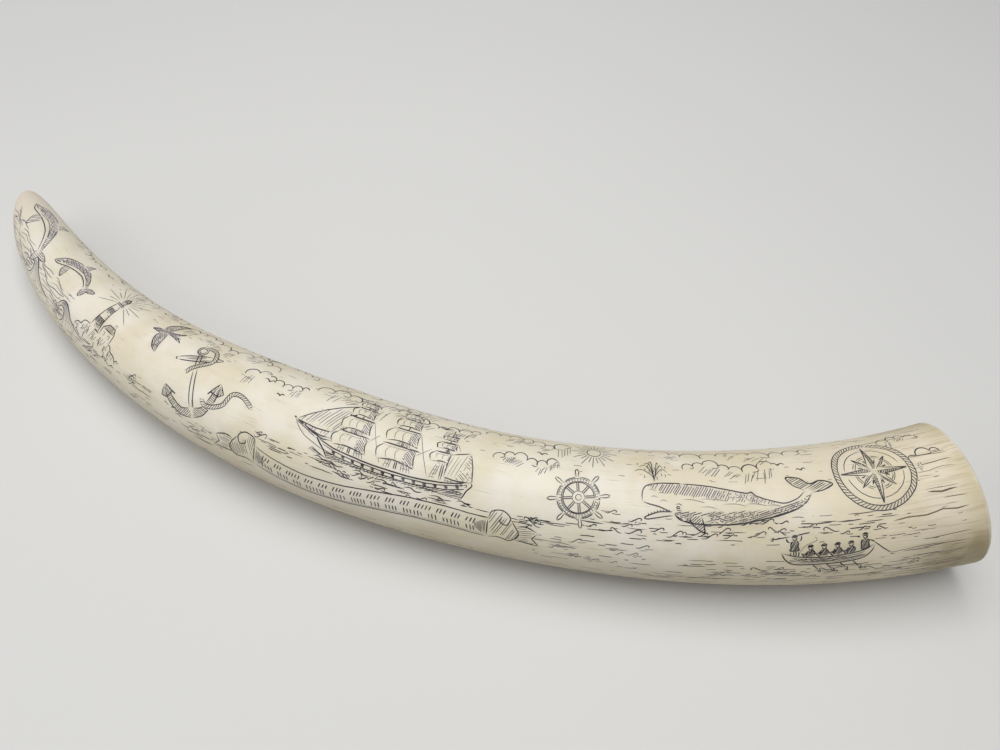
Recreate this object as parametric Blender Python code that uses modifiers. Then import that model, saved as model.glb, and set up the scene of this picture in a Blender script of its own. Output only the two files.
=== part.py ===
"""Scrimshaw tusk: one solid casting in ivory-coloured resin, lying on its side.

The tip points to -X, the sawn butt to +X, and the hollow of the curve faces +Y.
A place along the tusk is a share of its centreline, 0 at the tip and 1 at the butt.
Metres and degrees throughout.
"""
import math

import bpy
import bmesh
from mathutils import Matrix, Vector

# Centreline: its length, and its heading from +X at the four control points of a cubic, tip to butt
AXIS_LENGTH = 0.4935
AXIS_HEADINGS = (-42.2, -0.2, 4.8, 37.3)

# Girth: the radius at the butt, how fast the body narrows, and the rounding at the tip
BUTT_RADIUS = 0.0285
TAPER_POWER = 0.13
TIP_BLUNTNESS = 0.05
NOSE_RADIUS = 0.0026

# Girth: the flare at the butt, and the low swell and hollow, each a (place, spread, amount)
BUTT_FLARE = 0.07
FLARE_POWER = 8
SWELLS = ((0.45, 0.135, 0.118), (0.635, 0.20, -0.048))

# How it lies: the middle of the tip stands this high, and from REST_SHARE on the body touches down
TIP_HEIGHT = 0.018
REST_SHARE = 0.4
FLAT_DEPTH = 0.0005

# Butt: the saw cut leans back from square by this angle, and its rim is eased
BUTT_LEAN = 9.1
RIM_EASE = 0.0012
RIM_EASE_SEGMENTS = 2

# Facets
SIDES = 64
RINGS = 66
RING_CROWDING = 1.8
AXIS_STEPS = 1200

# Working allowances
CUTTER_MARGIN = 0.02
RIM_MIN_ANGLE = 60
WELD_DISTANCE = 0.000001
BLEND_POWER = 3

RESIN_COLOUR = (0.74, 0.65, 0.47, 1.0)
RESIN_ROUGHNESS = 0.36


def heading(share):
    """The centreline's direction in plan, in radians from +X."""
    back = 1 - share
    weights = (back ** 3, 3 * back * back * share, 3 * back * share * share, share ** 3)
    return math.radians(sum(w * h for w, h in zip(weights, AXIS_HEADINGS)))


def walk_centreline(shares):
    """Plan positions at rising shares, found by walking from the tip in short steps."""
    points = []
    position = Vector((0, 0, 0))
    walked = 0.0
    for share in shares:
        steps = max(1, math.ceil((share - walked) * AXIS_STEPS))
        stride = (share - walked) / steps
        for step in range(steps):
            angle = heading(walked + stride * (step + 0.5))
            position = position + AXIS_LENGTH * stride * Vector((math.cos(angle), math.sin(angle), 0))
        walked = share
        points.append(position)
    return points


def girth(share):
    """The radius as a bare number: the tapering body, swollen in places, blended into a rounded nose."""
    swell = 1 + BUTT_FLARE * share ** FLARE_POWER
    for place, spread, amount in SWELLS:
        swell += amount * math.exp(-((share - place) / spread) ** 2)
    body = math.hypot(share, TIP_BLUNTNESS) ** TAPER_POWER * swell
    nose = math.sqrt(2 * NOSE_RADIUS * AXIS_LENGTH * share) / BUTT_RADIUS
    return (body ** -BLEND_POWER + nose ** -BLEND_POWER) ** (-1 / BLEND_POWER)


def radius(share):
    return BUTT_RADIUS * girth(share) / girth(1)


def axis_height(share):
    """The body lies on its underside, and runs out straight to a tip that stands a little clear."""
    along = min(share / REST_SHARE, 1)
    settled = along * along * (3 - 2 * along)
    straight = TIP_HEIGHT + (radius(REST_SHARE) - TIP_HEIGHT) * along
    return settled * radius(share) + (1 - settled) * straight - FLAT_DEPTH


def ring_shares():
    """Rings crowd towards the tip, and the last one is past the leaning cut."""
    overrun = (BUTT_RADIUS * math.tan(math.radians(BUTT_LEAN)) + CUTTER_MARGIN / 4) / AXIS_LENGTH
    return [(ring / RINGS) ** RING_CROWDING for ring in range(1, RINGS + 1)] + [1 + overrun]


def to_mesh_object(curve_object):
    """The evaluated curve as a welded mesh under the same name and place; the curve is removed."""
    evaluated = curve_object.evaluated_get(bpy.context.evaluated_depsgraph_get())
    mesh = bpy.data.meshes.new_from_object(evaluated)
    work = bmesh.new()
    work.from_mesh(mesh)
    bmesh.ops.remove_doubles(work, verts=work.verts, dist=WELD_DISTANCE)
    bmesh.ops.recalc_face_normals(work, faces=work.faces)
    work.to_mesh(mesh)
    work.free()
    name = curve_object.name
    collection = curve_object.users_collection[0]
    place = curve_object.matrix_world.copy()
    bpy.data.objects.remove(curve_object)
    mesh.name = name
    result = bpy.data.objects.new(name, mesh)
    result.matrix_world = place
    collection.objects.link(result)
    return result


def make_blank(collection):
    """The uncut tusk: a tube along the centreline, its radius set at every ring."""
    curve = bpy.data.curves.new("tusk", "CURVE")
    curve.dimensions = "3D"
    curve.twist_mode = "Z_UP"
    curve.bevel_depth = BUTT_RADIUS
    curve.bevel_resolution = SIDES // 2 - 2
    curve.use_fill_caps = True
    shares = ring_shares()
    spline = curve.splines.new("POLY")
    spline.points.add(len(shares) - 1)
    for point, share, place in zip(spline.points, shares, walk_centreline(shares)):
        point.co = (place.x, place.y, axis_height(share), 1)
        point.radius = radius(share) / BUTT_RADIUS
    blank = bpy.data.objects.new("tusk", curve)
    collection.objects.link(blank)
    bpy.context.view_layer.update()
    return to_mesh_object(blank)


def make_box_cutter(name, collection, low, high, place):
    """A box between two corners of its own frame, put in place by a matrix."""
    size = Vector(high) - Vector(low)
    middle = (Vector(high) + Vector(low)) / 2
    work = bmesh.new()
    bmesh.ops.create_cube(work, size=1, matrix=Matrix.LocRotScale(middle, None, size))
    mesh = bpy.data.meshes.new(name)
    work.to_mesh(mesh)
    work.free()
    cutter = bpy.data.objects.new(name, mesh)
    cutter.matrix_world = place
    cutter.display_type = "WIRE"
    cutter.hide_render = True
    collection.objects.link(cutter)
    return cutter


def make_floor_cutter(collection):
    """Takes off everything under z = 0, which leaves a narrow flat to lie on."""
    reach = AXIS_LENGTH + CUTTER_MARGIN
    depth = FLAT_DEPTH + CUTTER_MARGIN
    return make_box_cutter("cut_flat", collection, (-reach, -reach, -depth), (reach, reach, 0), Matrix())


def make_butt_cutter(collection):
    """Saws the butt off through the end of the centreline, the top nearer to the tip."""
    end = walk_centreline([1])[0]
    end.z = axis_height(1)
    turn = Matrix.Rotation(heading(1), 4, "Z") @ Matrix.Rotation(-math.radians(BUTT_LEAN), 4, "Y")
    half = BUTT_RADIUS + CUTTER_MARGIN
    place = Matrix.Translation(end) @ turn
    return make_box_cutter("cut_butt", collection, (0, -half, -half), (2 * half, half, half), place)


def add_cut(piece, cutter):
    cut = piece.modifiers.new(cutter.name, "BOOLEAN")
    cut.operation = "DIFFERENCE"
    cut.solver = "EXACT"
    cut.object = cutter


def ease_rim(piece):
    """Eases the sharp rim round the butt; the long flat's edges are too shallow to be touched."""
    bevel = piece.modifiers.new("ease_rim", "BEVEL")
    bevel.width = RIM_EASE
    bevel.segments = RIM_EASE_SEGMENTS
    bevel.limit_method = "ANGLE"
    bevel.angle_limit = math.radians(RIM_MIN_ANGLE)


def finish_surface(piece):
    """Cast resin, smooth all over but for the rim and the flats."""
    resin = bpy.data.materials.new("ivory_resin")
    resin.use_nodes = True
    shader = resin.node_tree.nodes["Principled BSDF"]
    shader.inputs["Base Color"].default_value = RESIN_COLOUR
    shader.inputs["Roughness"].default_value = RESIN_ROUGHNESS
    shader.inputs["Metallic"].default_value = 0.0
    piece.data.materials.append(resin)
    piece.data.shade_smooth()


def centre_on_origin(pieces, measured):
    """Hangs all the pieces on an empty that puts the origin under the middle of the finished tusk."""
    bpy.context.view_layer.update()
    evaluated = measured.evaluated_get(bpy.context.evaluated_depsgraph_get())
    corners = [evaluated.matrix_world @ Vector(corner) for corner in evaluated.bound_box]
    middle_x = (min(c.x for c in corners) + max(c.x for c in corners)) / 2
    middle_y = (min(c.y for c in corners) + max(c.y for c in corners)) / 2
    placement = bpy.data.objects.new("tusk_placement", None)
    measured.users_collection[0].objects.link(placement)
    placement.location = (-middle_x, -middle_y, 0)
    for piece in pieces:
        piece.parent = placement


def main():
    for thing in list(bpy.data.objects):
        bpy.data.objects.remove(thing)
    collection = bpy.data.collections.new("scrimshaw_tusk")
    cutters = bpy.data.collections.new("cutters")
    bpy.context.scene.collection.children.link(collection)
    bpy.context.scene.collection.children.link(cutters)

    tusk = make_blank(collection)
    floor_cutter = make_floor_cutter(cutters)
    butt_cutter = make_butt_cutter(cutters)
    add_cut(tusk, floor_cutter)
    add_cut(tusk, butt_cutter)
    ease_rim(tusk)
    finish_surface(tusk)
    centre_on_origin((tusk, floor_cutter, butt_cutter), tusk)


main()
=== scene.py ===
"""Looks of the scrimshaw tusk: the engraved casting, the ink in its lines, the table and the light.

The engraving is drawn on a flat plate, in millimetres: x is the distance along the centreline from
the tip, and y the distance round the girth from the ridge, the line that faces the viewer.
The plate is triangulated with every line as a cut groove, and then wrapped round the tusk.
"""

import math
import random

import bpy
import numpy as np
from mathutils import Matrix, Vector
from mathutils.geometry import delaunay_2d_cdt
from mathutils.kdtree import KDTree


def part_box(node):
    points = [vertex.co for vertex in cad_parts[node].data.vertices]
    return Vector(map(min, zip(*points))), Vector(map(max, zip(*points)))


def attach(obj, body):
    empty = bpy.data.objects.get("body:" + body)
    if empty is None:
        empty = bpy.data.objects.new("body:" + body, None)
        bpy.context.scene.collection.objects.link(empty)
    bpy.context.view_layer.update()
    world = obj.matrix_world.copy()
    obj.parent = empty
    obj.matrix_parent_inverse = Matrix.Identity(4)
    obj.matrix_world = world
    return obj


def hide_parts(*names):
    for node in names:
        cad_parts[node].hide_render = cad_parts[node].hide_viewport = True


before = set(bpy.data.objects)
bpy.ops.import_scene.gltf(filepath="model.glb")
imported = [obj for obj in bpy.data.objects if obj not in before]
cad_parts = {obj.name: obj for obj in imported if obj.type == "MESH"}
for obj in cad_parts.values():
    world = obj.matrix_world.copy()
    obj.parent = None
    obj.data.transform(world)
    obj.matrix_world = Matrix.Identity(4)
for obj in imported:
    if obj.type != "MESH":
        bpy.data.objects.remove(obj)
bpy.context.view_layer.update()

MM = 0.001

# The tusk's surface, by the same rule as the CAD solid
AXIS_LENGTH = 0.4935
AXIS_HEADINGS = (-42.2, -0.2, 4.8, 37.3)
BUTT_RADIUS = 0.0285
TAPER_POWER = 0.13
TIP_BLUNTNESS = 0.05
NOSE_RADIUS = 0.0026
BLEND_POWER = 3
BUTT_FLARE = 0.07
FLARE_POWER = 8
SWELLS = ((0.45, 0.135, 0.118), (0.635, 0.20, -0.048))
TIP_HEIGHT = 0.018
REST_SHARE = 0.4
FLAT_DEPTH = 0.0005
BUTT_LEAN = 9.1
RIM_EASE = 0.0012

# The ridge: its angle round the girth, from level on the outer side of the curve
RIDGE_AT_BUTT = 66
RIDGE_TURN_TO_TIP = 38
RIDGE_TURN_POWER = 4

# Where the engraver's lines may run
ART_START_MM = 9
ART_END_MM = 484
ART_LOW_ANGLE = -70
ART_HIGH_ANGLE = 250

# Cut lines
LINE_MM = 0.56
CUT_DEPTH_MM = 0.15
CHARCOAL, GREY, VIOLET, UMBER = range(4)


def heading(share):
    """The centreline's direction in plan, in radians from +X; share is 0 at the tip and 1 at the butt."""
    back = 1 - share
    weights = (back ** 3, 3 * back * back * share, 3 * back * share * share, share ** 3)
    return math.radians(sum(w * h for w, h in zip(weights, AXIS_HEADINGS)))


def girth(share):
    """The radius as a bare number: the tapering body, swollen in places, blended into a rounded nose."""
    swell = 1 + BUTT_FLARE * share ** FLARE_POWER
    for place, spread, amount in SWELLS:
        swell += amount * math.exp(-((share - place) / spread) ** 2)
    body = math.hypot(share, TIP_BLUNTNESS) ** TAPER_POWER * swell
    nose = math.sqrt(2 * NOSE_RADIUS * AXIS_LENGTH * share) / BUTT_RADIUS
    return (body ** -BLEND_POWER + nose ** -BLEND_POWER) ** (-1 / BLEND_POWER)


def radius(share):
    return BUTT_RADIUS * girth(share) / girth(1) if share > 0 else 0.0


def axis_height(share):
    """The body lies on its underside, and runs out straight to a tip that stands a little clear."""
    along = min(share / REST_SHARE, 1)
    settled = along * along * (3 - 2 * along)
    straight = TIP_HEIGHT + (radius(REST_SHARE) - TIP_HEIGHT) * along
    return settled * radius(share) + (1 - settled) * straight - FLAT_DEPTH


# The radius read at even steps, for quick use at many places
SHARE_STEPS = 2000
SHARE_END = 1.02
step_shares = np.linspace(0, SHARE_END, SHARE_STEPS + 1)
step_radii_mm = np.array([radius(share) for share in step_shares]) / MM
step_places_mm = step_shares * AXIS_LENGTH / MM


def radius_mm(x):
    return np.interp(x, step_places_mm, step_radii_mm)


def ridge_angle(x):
    share = np.clip(np.asarray(x, float) * MM / AXIS_LENGTH, 0, 1)
    return np.radians(RIDGE_AT_BUTT + RIDGE_TURN_TO_TIP * (1 - share) ** RIDGE_TURN_POWER)


def angle_at(x, y):
    """The angle round the girth at a place on the plate, 0 level on the outer side, 90 degrees on top."""
    return ridge_angle(x) + y / np.maximum(radius_mm(x), 0.01)


def across(x, angle):
    """The plate's y at an angle round the girth."""
    return (angle - ridge_angle(x)) * radius_mm(x)


# Drawing: a stroke is its points, width and ink; what is drawn first lies in front
HAND_SEED = 41
STROKE_FILL_MM = 0.4
WOBBLE_MM = 0.11
FULL_WOBBLE_LENGTH_MM = 8
WOBBLE_WAVES = ((2.6, 0.55), (0.95, 0.3))
strokes = []
covered = []
hand = random.Random(HAND_SEED)


def arc_lengths(points):
    return np.concatenate([[0], np.cumsum(np.hypot(*np.diff(points, axis=0).T))])


def along_path(points, places):
    lengths = arc_lengths(points)
    return np.column_stack([np.interp(places, lengths, row) for row in points.T])


def refill(points, gap):
    """Adds points along long straight stretches, and keeps the corners."""
    points = np.asarray(points, float)
    lengths = arc_lengths(points)
    return along_path(points, np.unique(np.concatenate([lengths, np.arange(gap, lengths[-1], gap)])))


def smooth(points, steps=8):
    """A smooth curve through the points."""
    points = [np.array(p, float) for p in (points[0], *points, points[-1])]
    out = []
    for p0, p1, p2, p3 in zip(points, points[1:], points[2:], points[3:]):
        for t in np.arange(steps) / steps:
            out.append(0.5 * (2 * p1 + (p2 - p0) * t + (2 * p0 - 5 * p1 + 4 * p2 - p3) * t * t
                              + (3 * p1 - p0 - 3 * p2 + p3) * t ** 3))
    return np.array([*out, points[-1]])


def join(*runs):
    """Several runs of points as one."""
    return np.concatenate(runs)


def directions(turn):
    """Unit vectors at a turn in degrees, and at a quarter turn more."""
    sine, cosine = math.sin(math.radians(turn)), math.cos(math.radians(turn))
    return np.array([cosine, sine]), np.array([-sine, cosine])


def oval(x, y, wide, tall, turns):
    """Points of an oval at turns in radians."""
    return np.column_stack([x + wide * np.cos(turns), y + tall * np.sin(turns)])


def normals_of(path):
    slope = np.gradient(path, axis=0)
    length = np.maximum(np.hypot(slope[:, 0], slope[:, 1]), 1e-9)
    return np.stack([-slope[:, 1], slope[:, 0]], 1) / length[:, None]


def wobble(points):
    """The small sway of a hand-held needle."""
    lengths = arc_lengths(points)
    sway = WOBBLE_MM * min(1.0, lengths[-1] / FULL_WOBBLE_LENGTH_MM)
    shift = sum(np.sin(lengths / wave + hand.uniform(0, 2 * math.pi)) * share for wave, share in WOBBLE_WAVES)
    return points + normals_of(points) * (sway * shift)[:, None]


def inside(points, outline):
    """Which points lie inside a closed outline."""
    found = np.zeros(len(points), bool)
    near = ((points >= outline.min(0)) & (points <= outline.max(0))).all(1)
    if not near.any():
        return found
    x, y = points[near, 0][:, None], points[near, 1][:, None]
    x1, y1 = outline.T
    x2, y2 = np.roll(x1, -1), np.roll(y1, -1)
    rise = np.where(y2 == y1, 1e-9, y2 - y1)
    crossing = ((y1 > y) != (y2 > y)) & (x < (x2 - x1) * (y - y1) / rise + x1)
    found[near] = crossing.sum(1) % 2 == 1
    return found


def cut(points, width=LINE_MM, ink=CHARCOAL):
    """Engraves one stroke, but for stretches off the plate or behind something drawn before."""
    points = wobble(refill(points, STROKE_FILL_MM))
    angle = np.degrees(angle_at(*points.T))
    free = (points[:, 0] > ART_START_MM) & (points[:, 0] < ART_END_MM)
    free &= (angle > ART_LOW_ANGLE) & (angle < ART_HIGH_ANGLE)
    for outline in covered:
        free &= ~inside(points, outline)
    edges = np.flatnonzero(np.diff(np.concatenate([[False], free, [False]]).astype(int)))
    for start, end in zip(edges[::2], edges[1::2]):
        if end - start > 2 and arc_lengths(points[start:end])[-1] > width:
            strokes.append((points[start:end], width, ink))


class Pen:
    """Draws a motif in its own units, placed on the plate by where, how large, long and turned it is.

    Whatever draws a line gives back its points, for shading and covering.
    """

    def __init__(self, x, y, size=1.0, turn=0, mirror=False, width=LINE_MM, ink=CHARCOAL, long=1.0):
        self.place = np.array([x, y], float)
        self.size = size
        self.turn = math.radians(turn)
        self.stretch = -long if mirror else long
        self.width = width
        self.ink = ink

    def on_plate(self, points):
        points = np.asarray(points, float) * self.size
        x, y = points[:, 0] * self.stretch, points[:, 1]
        sine, cosine = math.sin(self.turn), math.cos(self.turn)
        return np.stack([x * cosine - y * sine, x * sine + y * cosine], 1) + self.place

    def path(self, points, thin=1.0, ink=None):
        cut(self.on_plate(points), self.width * thin, self.ink if ink is None else ink)
        return points

    def line(self, *points, thin=1.0, ink=None):
        return self.path(points, thin, ink)

    def box(self, left, low, right, high, thin=1.0):
        return self.line((left, low), (left, high), (right, high), (right, low), (left, low), thin=thin)

    def curve(self, *points, thin=1.0, ink=None):
        return self.path(smooth(points), thin, ink)

    def curves(self, *runs, thin=1.0):
        """Several curves end to end, given back as one outline."""
        return join(*[self.curve(*run, thin=thin) for run in runs])

    def ring(self, x, y, wide, tall=None, start=0, end=360, thin=1.0):
        turns = np.radians(np.linspace(start, end, max(6, int(abs(end - start) / 12)) + 1))
        return self.path(oval(x, y, wide, wide if tall is None else tall, turns), thin)

    def rays(self, middle, turns, near, short, far, thin, ink=None):
        """Strokes that point away from a middle: far ones at every 30 degrees, and short ones between."""
        for turn in turns:
            along = directions(turn)[0]
            reach = short if turn % 30 else far
            self.line(middle + near * along, middle + reach * along, thin=thin, ink=ink)

    def cover(self, outline):
        """Keeps what is drawn later from showing through this outline."""
        covered.append(self.on_plate(outline))

    def hatch(self, outline, angle, gap, thin=0.6, ink=None, skip=0.0, ragged=0.12):
        """Shades an outline with nearly parallel strokes; skip leaves some out, ragged frays their ends."""
        outline = np.asarray(outline, float)
        along, up = directions(angle)
        u, v = outline @ along, outline @ up
        u_next, v_next = np.roll(u, -1), np.roll(v, -1)
        for level in np.arange(v.min() + gap / 2, v.max(), gap):
            level += gap * hand.uniform(-0.18, 0.18)
            crossed = (v - level) * (v_next - level) < 0
            share = (level - v[crossed]) / (v_next[crossed] - v[crossed])
            hits = np.sort(u[crossed] + share * (u_next[crossed] - u[crossed]))
            for left, right in zip(hits[::2], hits[1::2]):
                length = right - left
                left += length * ragged * hand.random()
                right -= length * ragged * hand.random()
                if length * self.size < 0.8 or hand.random() < skip:
                    continue
                spots = (left, (left + right) / 2, right)
                self.curve(*[spot * along + level * up for spot in spots], thin=thin, ink=ink)

    def fill(self, outline, angle, gap, **look):
        """Shades an outline, and covers it."""
        self.hatch(outline, angle, gap, **look)
        self.cover(outline)


def scallops(route, bump, shade=0.0, ink=CHARCOAL):
    """A cloud's edge: bumps of uneven size along a route, some curled in, a share with strokes under them."""
    path = refill(smooth(route), 0.5)
    length = arc_lengths(path)[-1]
    place = 0.0
    while place < length - bump * 0.5:
        wide = bump * hand.uniform(0.65, 1.45)
        start, end = along_path(path, np.array([place, min(place + wide, length)]))
        chord = end - start
        side = np.array([-chord[1], chord[0]])
        tall = hand.uniform(0.38, 0.56)
        turns = np.radians(np.linspace(188, -8, 11))
        cut([start + chord * (0.5 + 0.5 * math.cos(t)) + side * tall * math.sin(t) for t in turns],
            LINE_MM * hand.uniform(0.75, 1.1), ink)
        if hand.random() < 0.4:
            curled = [end + chord * 0.10, end - side * tall * 0.4 - chord * 0.10,
                      end - side * tall * 0.32 - chord * 0.45]
            cut(smooth(curled), LINE_MM * 0.7, ink)
        if hand.random() < shade:
            for stroke in range(hand.randint(3, 6)):
                top = start + chord * (0.15 + 0.19 * stroke) - side * hand.uniform(0.15, 0.4)
                cut([top, top - side * hand.uniform(0.35, 0.7) - chord * 0.35], LINE_MM * 0.55, GREY)
        place += wide


def dashes(start, end, low, high, count, longest=9, thin=0.7, ink=CHARCOAL):
    """Loose strokes that lie along the tusk, as on water."""
    for _ in range(count):
        x, y = hand.uniform(start, end), hand.uniform(low, high)
        reach = (1.4 + (longest - 1.4) * hand.random() ** 2) / 2
        dip = hand.uniform(-0.25, 0.25)
        cut(smooth([(x - reach, y), (x, y + dip), (x + reach, y + dip * hand.uniform(-0.6, 0.6))], steps=4),
            LINE_MM * thin * hand.uniform(0.6, 1.2), ink)


def crests(start, end, low, high, count, size, ink=CHARCOAL):
    """Small waves: a hollow curve with a curled lip, some with a stroke under it."""
    for _ in range(count):
        pen = Pen(hand.uniform(start, end), hand.uniform(low, high), size * hand.uniform(0.6, 1.3),
                  turn=hand.uniform(-7, 7), mirror=hand.random() < 0.3, width=LINE_MM * 0.8, ink=ink)
        lip = pen.curve((-1.0, -0.1), (-0.55, -0.12), (-0.1, 0.18), (0.2, 0.32), (0.4, 0.2), (0.3, 0.03))
        if hand.random() < 0.6:
            pen.curve((-0.1, -0.1), (0.3, -0.16), (0.9, -0.1), thin=0.7)
        pen.cover(lip)


def swell(start, end, low, high, gap):
    """Rolling water: long wavy lines side by side, broken here and there."""
    for level in np.arange(low, high, gap):
        x = start + hand.uniform(0, 8)
        while x < end:
            reach = hand.uniform(7, 22)
            stretch = np.arange(x, min(x + reach, end), 1.2)
            rise = [level + 0.75 * math.sin(s / 3.4 + level * 0.9) + 0.3 * math.sin(s / 1.7) for s in stretch]
            if len(stretch) > 2:
                route = smooth(np.column_stack([stretch, rise]), steps=3)
                cut(route, LINE_MM * 0.6 * hand.uniform(0.7, 1.2), VIOLET)
            x += reach + hand.uniform(0.8, 3.5)


def drying_cracks(count):
    """Thin cracks that run in from the sawn end, as old pieces have them."""
    for _ in range(count):
        x, y = ART_END_MM - 0.2, hand.uniform(-34, 60)
        route = [(x, y)]
        for _ in range(hand.randint(3, 9)):
            x -= hand.uniform(1.5, 4.5)
            y += hand.uniform(-0.45, 0.45)
            route.append((x, y))
        cut(route, LINE_MM * hand.uniform(0.35, 0.8), UMBER)


def rope(route, wide):
    """A laid rope: two edges and a slanting strand mark at every turn, in front of what comes later."""
    path = refill(smooth(route), 0.4)
    side = normals_of(path) * wide / 2
    for edge in (-1, 1):
        cut(path + side * edge, LINE_MM * 0.8)
    length = arc_lengths(path)[-1]
    for place in np.arange(wide * 0.3, length - wide * 0.2, wide * 0.72):
        shares = np.array([-0.9, -0.4, 0.4, 0.9])
        spots = place + np.array([-0.42, -0.2, 0.2, 0.42]) * wide
        out = along_path(path, spots + 0.2) - along_path(path, spots - 0.2)
        out = np.stack([-out[:, 1], out[:, 0]], 1) / 0.4
        strand = along_path(path, spots) + out * (shares * wide / 2)[:, None]
        cut(smooth(strand, steps=3), LINE_MM * 0.8 * 0.85)
    covered.append(join(path + side, (path - side)[::-1]))


# Motifs, each in millimetres about its own middle

def draw_dolphin(pen):
    """A leaping dolphin, its beak towards -x."""
    back = pen.curve((-17.5, -3.4), (-15.2, -1.6), (-13.8, 0.9), (-10.8, 3.5), (-6.0, 5.6), (-1.4, 6.2))
    fin = pen.curve((-1.4, 6.2), (0.4, 8.6), (3.0, 10.6), (2.7, 7.8), (3.6, 5.6))
    rump = pen.curve((3.6, 5.6), (7.8, 3.2), (11.6, -0.6), (14.0, -4.6))
    fluke = pen.curve((14.0, -4.6), (16.6, -3.8), (19.8, -4.6), (17.4, -6.4), (15.2, -7.0), (14.6, -9.4),
                      (12.6, -11.4), (11.8, -8.6), (12.2, -6.2))
    belly = pen.curve((12.2, -6.2), (8.6, -2.6), (4.0, -0.6), (-1.4, -0.4), (-6.6, -1.4), (-11.0, -3.4),
                      (-14.2, -4.4), (-17.5, -3.4))
    flipper = pen.curve((-8.2, -1.8), (-8.4, -5.4), (-5.6, -9.0), (-4.8, -5.4), (-4.2, -1.0))
    pen.hatch(flipper, 62, 0.9, ink=VIOLET)
    pen.curve((-17.0, -3.3), (-14.6, -3.0), (-12.8, -2.2))
    pen.ring(-11.6, -0.9, 0.5, 0.35)
    pen.curve((-12.6, 0.0), (-11.4, 0.5), (-10.2, 0.1), thin=0.6)
    flank = pen.curve((-10.0, -1.6), (-4.0, 1.4), (3.0, 1.8), (9.0, -1.0), (13.0, -5.0), thin=0.7)
    upper = join(back, rump, flank[::-1])
    pen.hatch(upper, 38, 0.85, ink=VIOLET, ragged=0.1)
    pen.hatch(upper, -24, 1.3, thin=0.5, ink=VIOLET, skip=0.25, ragged=0.3)
    pen.hatch(fluke, 20, 0.9, ink=VIOLET)
    pen.hatch(fin, 60, 0.8, ink=VIOLET)
    pen.cover(join(back, fin, rump, fluke, belly))
    pen.cover(flipper)


def draw_breaker(pen):
    """A breaking wave, its lip curled towards -x, with flow lines up its back and foam at its foot."""
    back = pen.curve((17.0, -4.4), (9.0, -2.2), (1.4, 2.6), (-3.6, 7.4), (-8.8, 8.8), (-12.4, 6.6),
                     (-12.6, 3.4), thin=1.1)
    hollow = pen.curve((-11.5, -4.4), (-8.2, -2.8), (-6.0, 0.0), (-6.2, 3.8), (-8.4, 5.6), (-11.0, 5.2),
                       (-12.6, 3.4))
    for share in (0.14, 0.32, 0.5, 0.68, 0.86):
        flow = back * (1 - share) + hollow * share
        pen.path(flow[3:-9 - int(20 * abs(share - 0.5))], 0.6, VIOLET)
    for x, y, wide in ((-13.4, 2.0, 1.3), (-12.2, 0.6, 1.0), (-14.6, 0.0, 0.8), (-13.2, -1.6, 0.9),
                       (-10.4, -0.4, 0.7)):
        pen.ring(x, y, wide, wide * 0.8, 20, 330, thin=0.6)
    for x, y in ((-15.6, 3.6), (-16.4, 1.6), (-11.8, 10.2), (-7.6, 10.8), (-14.4, 8.2), (-17.4, -0.8)):
        pen.curve((x, y), (x + 0.4, y + 0.3), (x + 0.8, y), thin=0.6)
    pen.cover(join(back, hollow[::-1]))


def draw_swallow(pen):
    """A swallow seen from above, its beak towards -x."""
    for front, rear in ((((-3.4, 1.4), (-1.0, 6.4), (4.6, 11.4), (11.6, 14.4)),
                         ((11.6, 14.4), (7.6, 9.0), (5.2, 5.2), (2.6, 1.3))),
                        (((-3.0, -1.4), (-4.6, -6.4), (-2.6, -12.4), (2.4, -17.0)),
                         ((2.4, -17.0), (2.0, -11.0), (2.8, -6.0), (2.6, -1.3)))):
        front, rear = pen.curve(*front, thin=1.1), pen.curve(*rear)
        for share in (0.3, 0.55, 0.8):
            pen.path(front[4:-2] * (1 - share) + rear[::-1][4:-2] * share, 0.55)
        pen.fill(join(front, rear), -52, 0.8, thin=0.55, ink=VIOLET, ragged=0.1)
    head = pen.curve((2.6, 1.3), (-3.4, 1.6), (-6.8, 1.2), (-8.2, 0.4), (-10.0, -0.3), (-8.2, -0.6),
                     (-6.6, -1.4), (-3.0, -1.6), (2.6, -1.3))
    tail = pen.curves(((2.6, 1.3), (7.6, 0.8), (15.4, 3.4)), ((15.4, 3.4), (11.2, 0.6), (9.4, -0.4)),
                      ((9.4, -0.4), (11.4, -2.0), (15.0, -5.6)), ((15.0, -5.6), (7.4, -2.2), (2.6, -1.3)))
    pen.fill(join(head[::-1], tail), 64, 0.7, thin=0.6, ink=VIOLET, ragged=0.15)


def draw_wheel(pen, reach):
    """A ship's wheel with eight turned handles."""
    profile = ((0.64, 0.03), (0.76, 0.04), (0.86, 0.055), (0.95, 0.035), (1.0, 0.0))
    for turn in range(10, 370, 45):
        along, up = directions(turn)
        handle = []
        for side in (-1, 1):
            half = pen.curve(*[reach * (out * along + side * wide * up) for out, wide in profile], thin=0.8)
            handle.append(half[::-side])
            pen.line(*[reach * (out * along + side * 0.03 * up) for out in (0.2, 0.5)], thin=0.8)
        pen.cover(join(*handle))
    for share in (0.09, 0.2, 0.5, 0.54, 0.64, 0.68):
        pen.ring(0, 0, reach * share, thin=0.85 if share in (0.5, 0.68) else 0.55)
    pen.rays((0, 0), range(0, 360, 9), 0.545 * reach, 0.635 * reach, 0.635 * reach, 0.55)
    pen.cover(oval(0, 0, 0.69 * reach, 0.69 * reach, np.linspace(0, 6.1, 30)))


def draw_sun(pen, reach):
    """A low sun: a plain disc, and rays of two lengths."""
    pen.ring(0, 0, reach * 0.3)
    pen.rays((0, 0), range(0, 360, 15), reach * 0.38, reach * 0.75, reach, 0.7)


def draw_gull(pen):
    pen.curve((-3.2, 0.9), (-1.9, 1.6), (-0.6, 0.8), (0, 0), (0.6, 0.8), (1.9, 1.5), (3.4, 0.6))
    pen.curve((-0.6, 0.8), (0, 0.5), (0.6, 0.8), thin=0.7)


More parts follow.
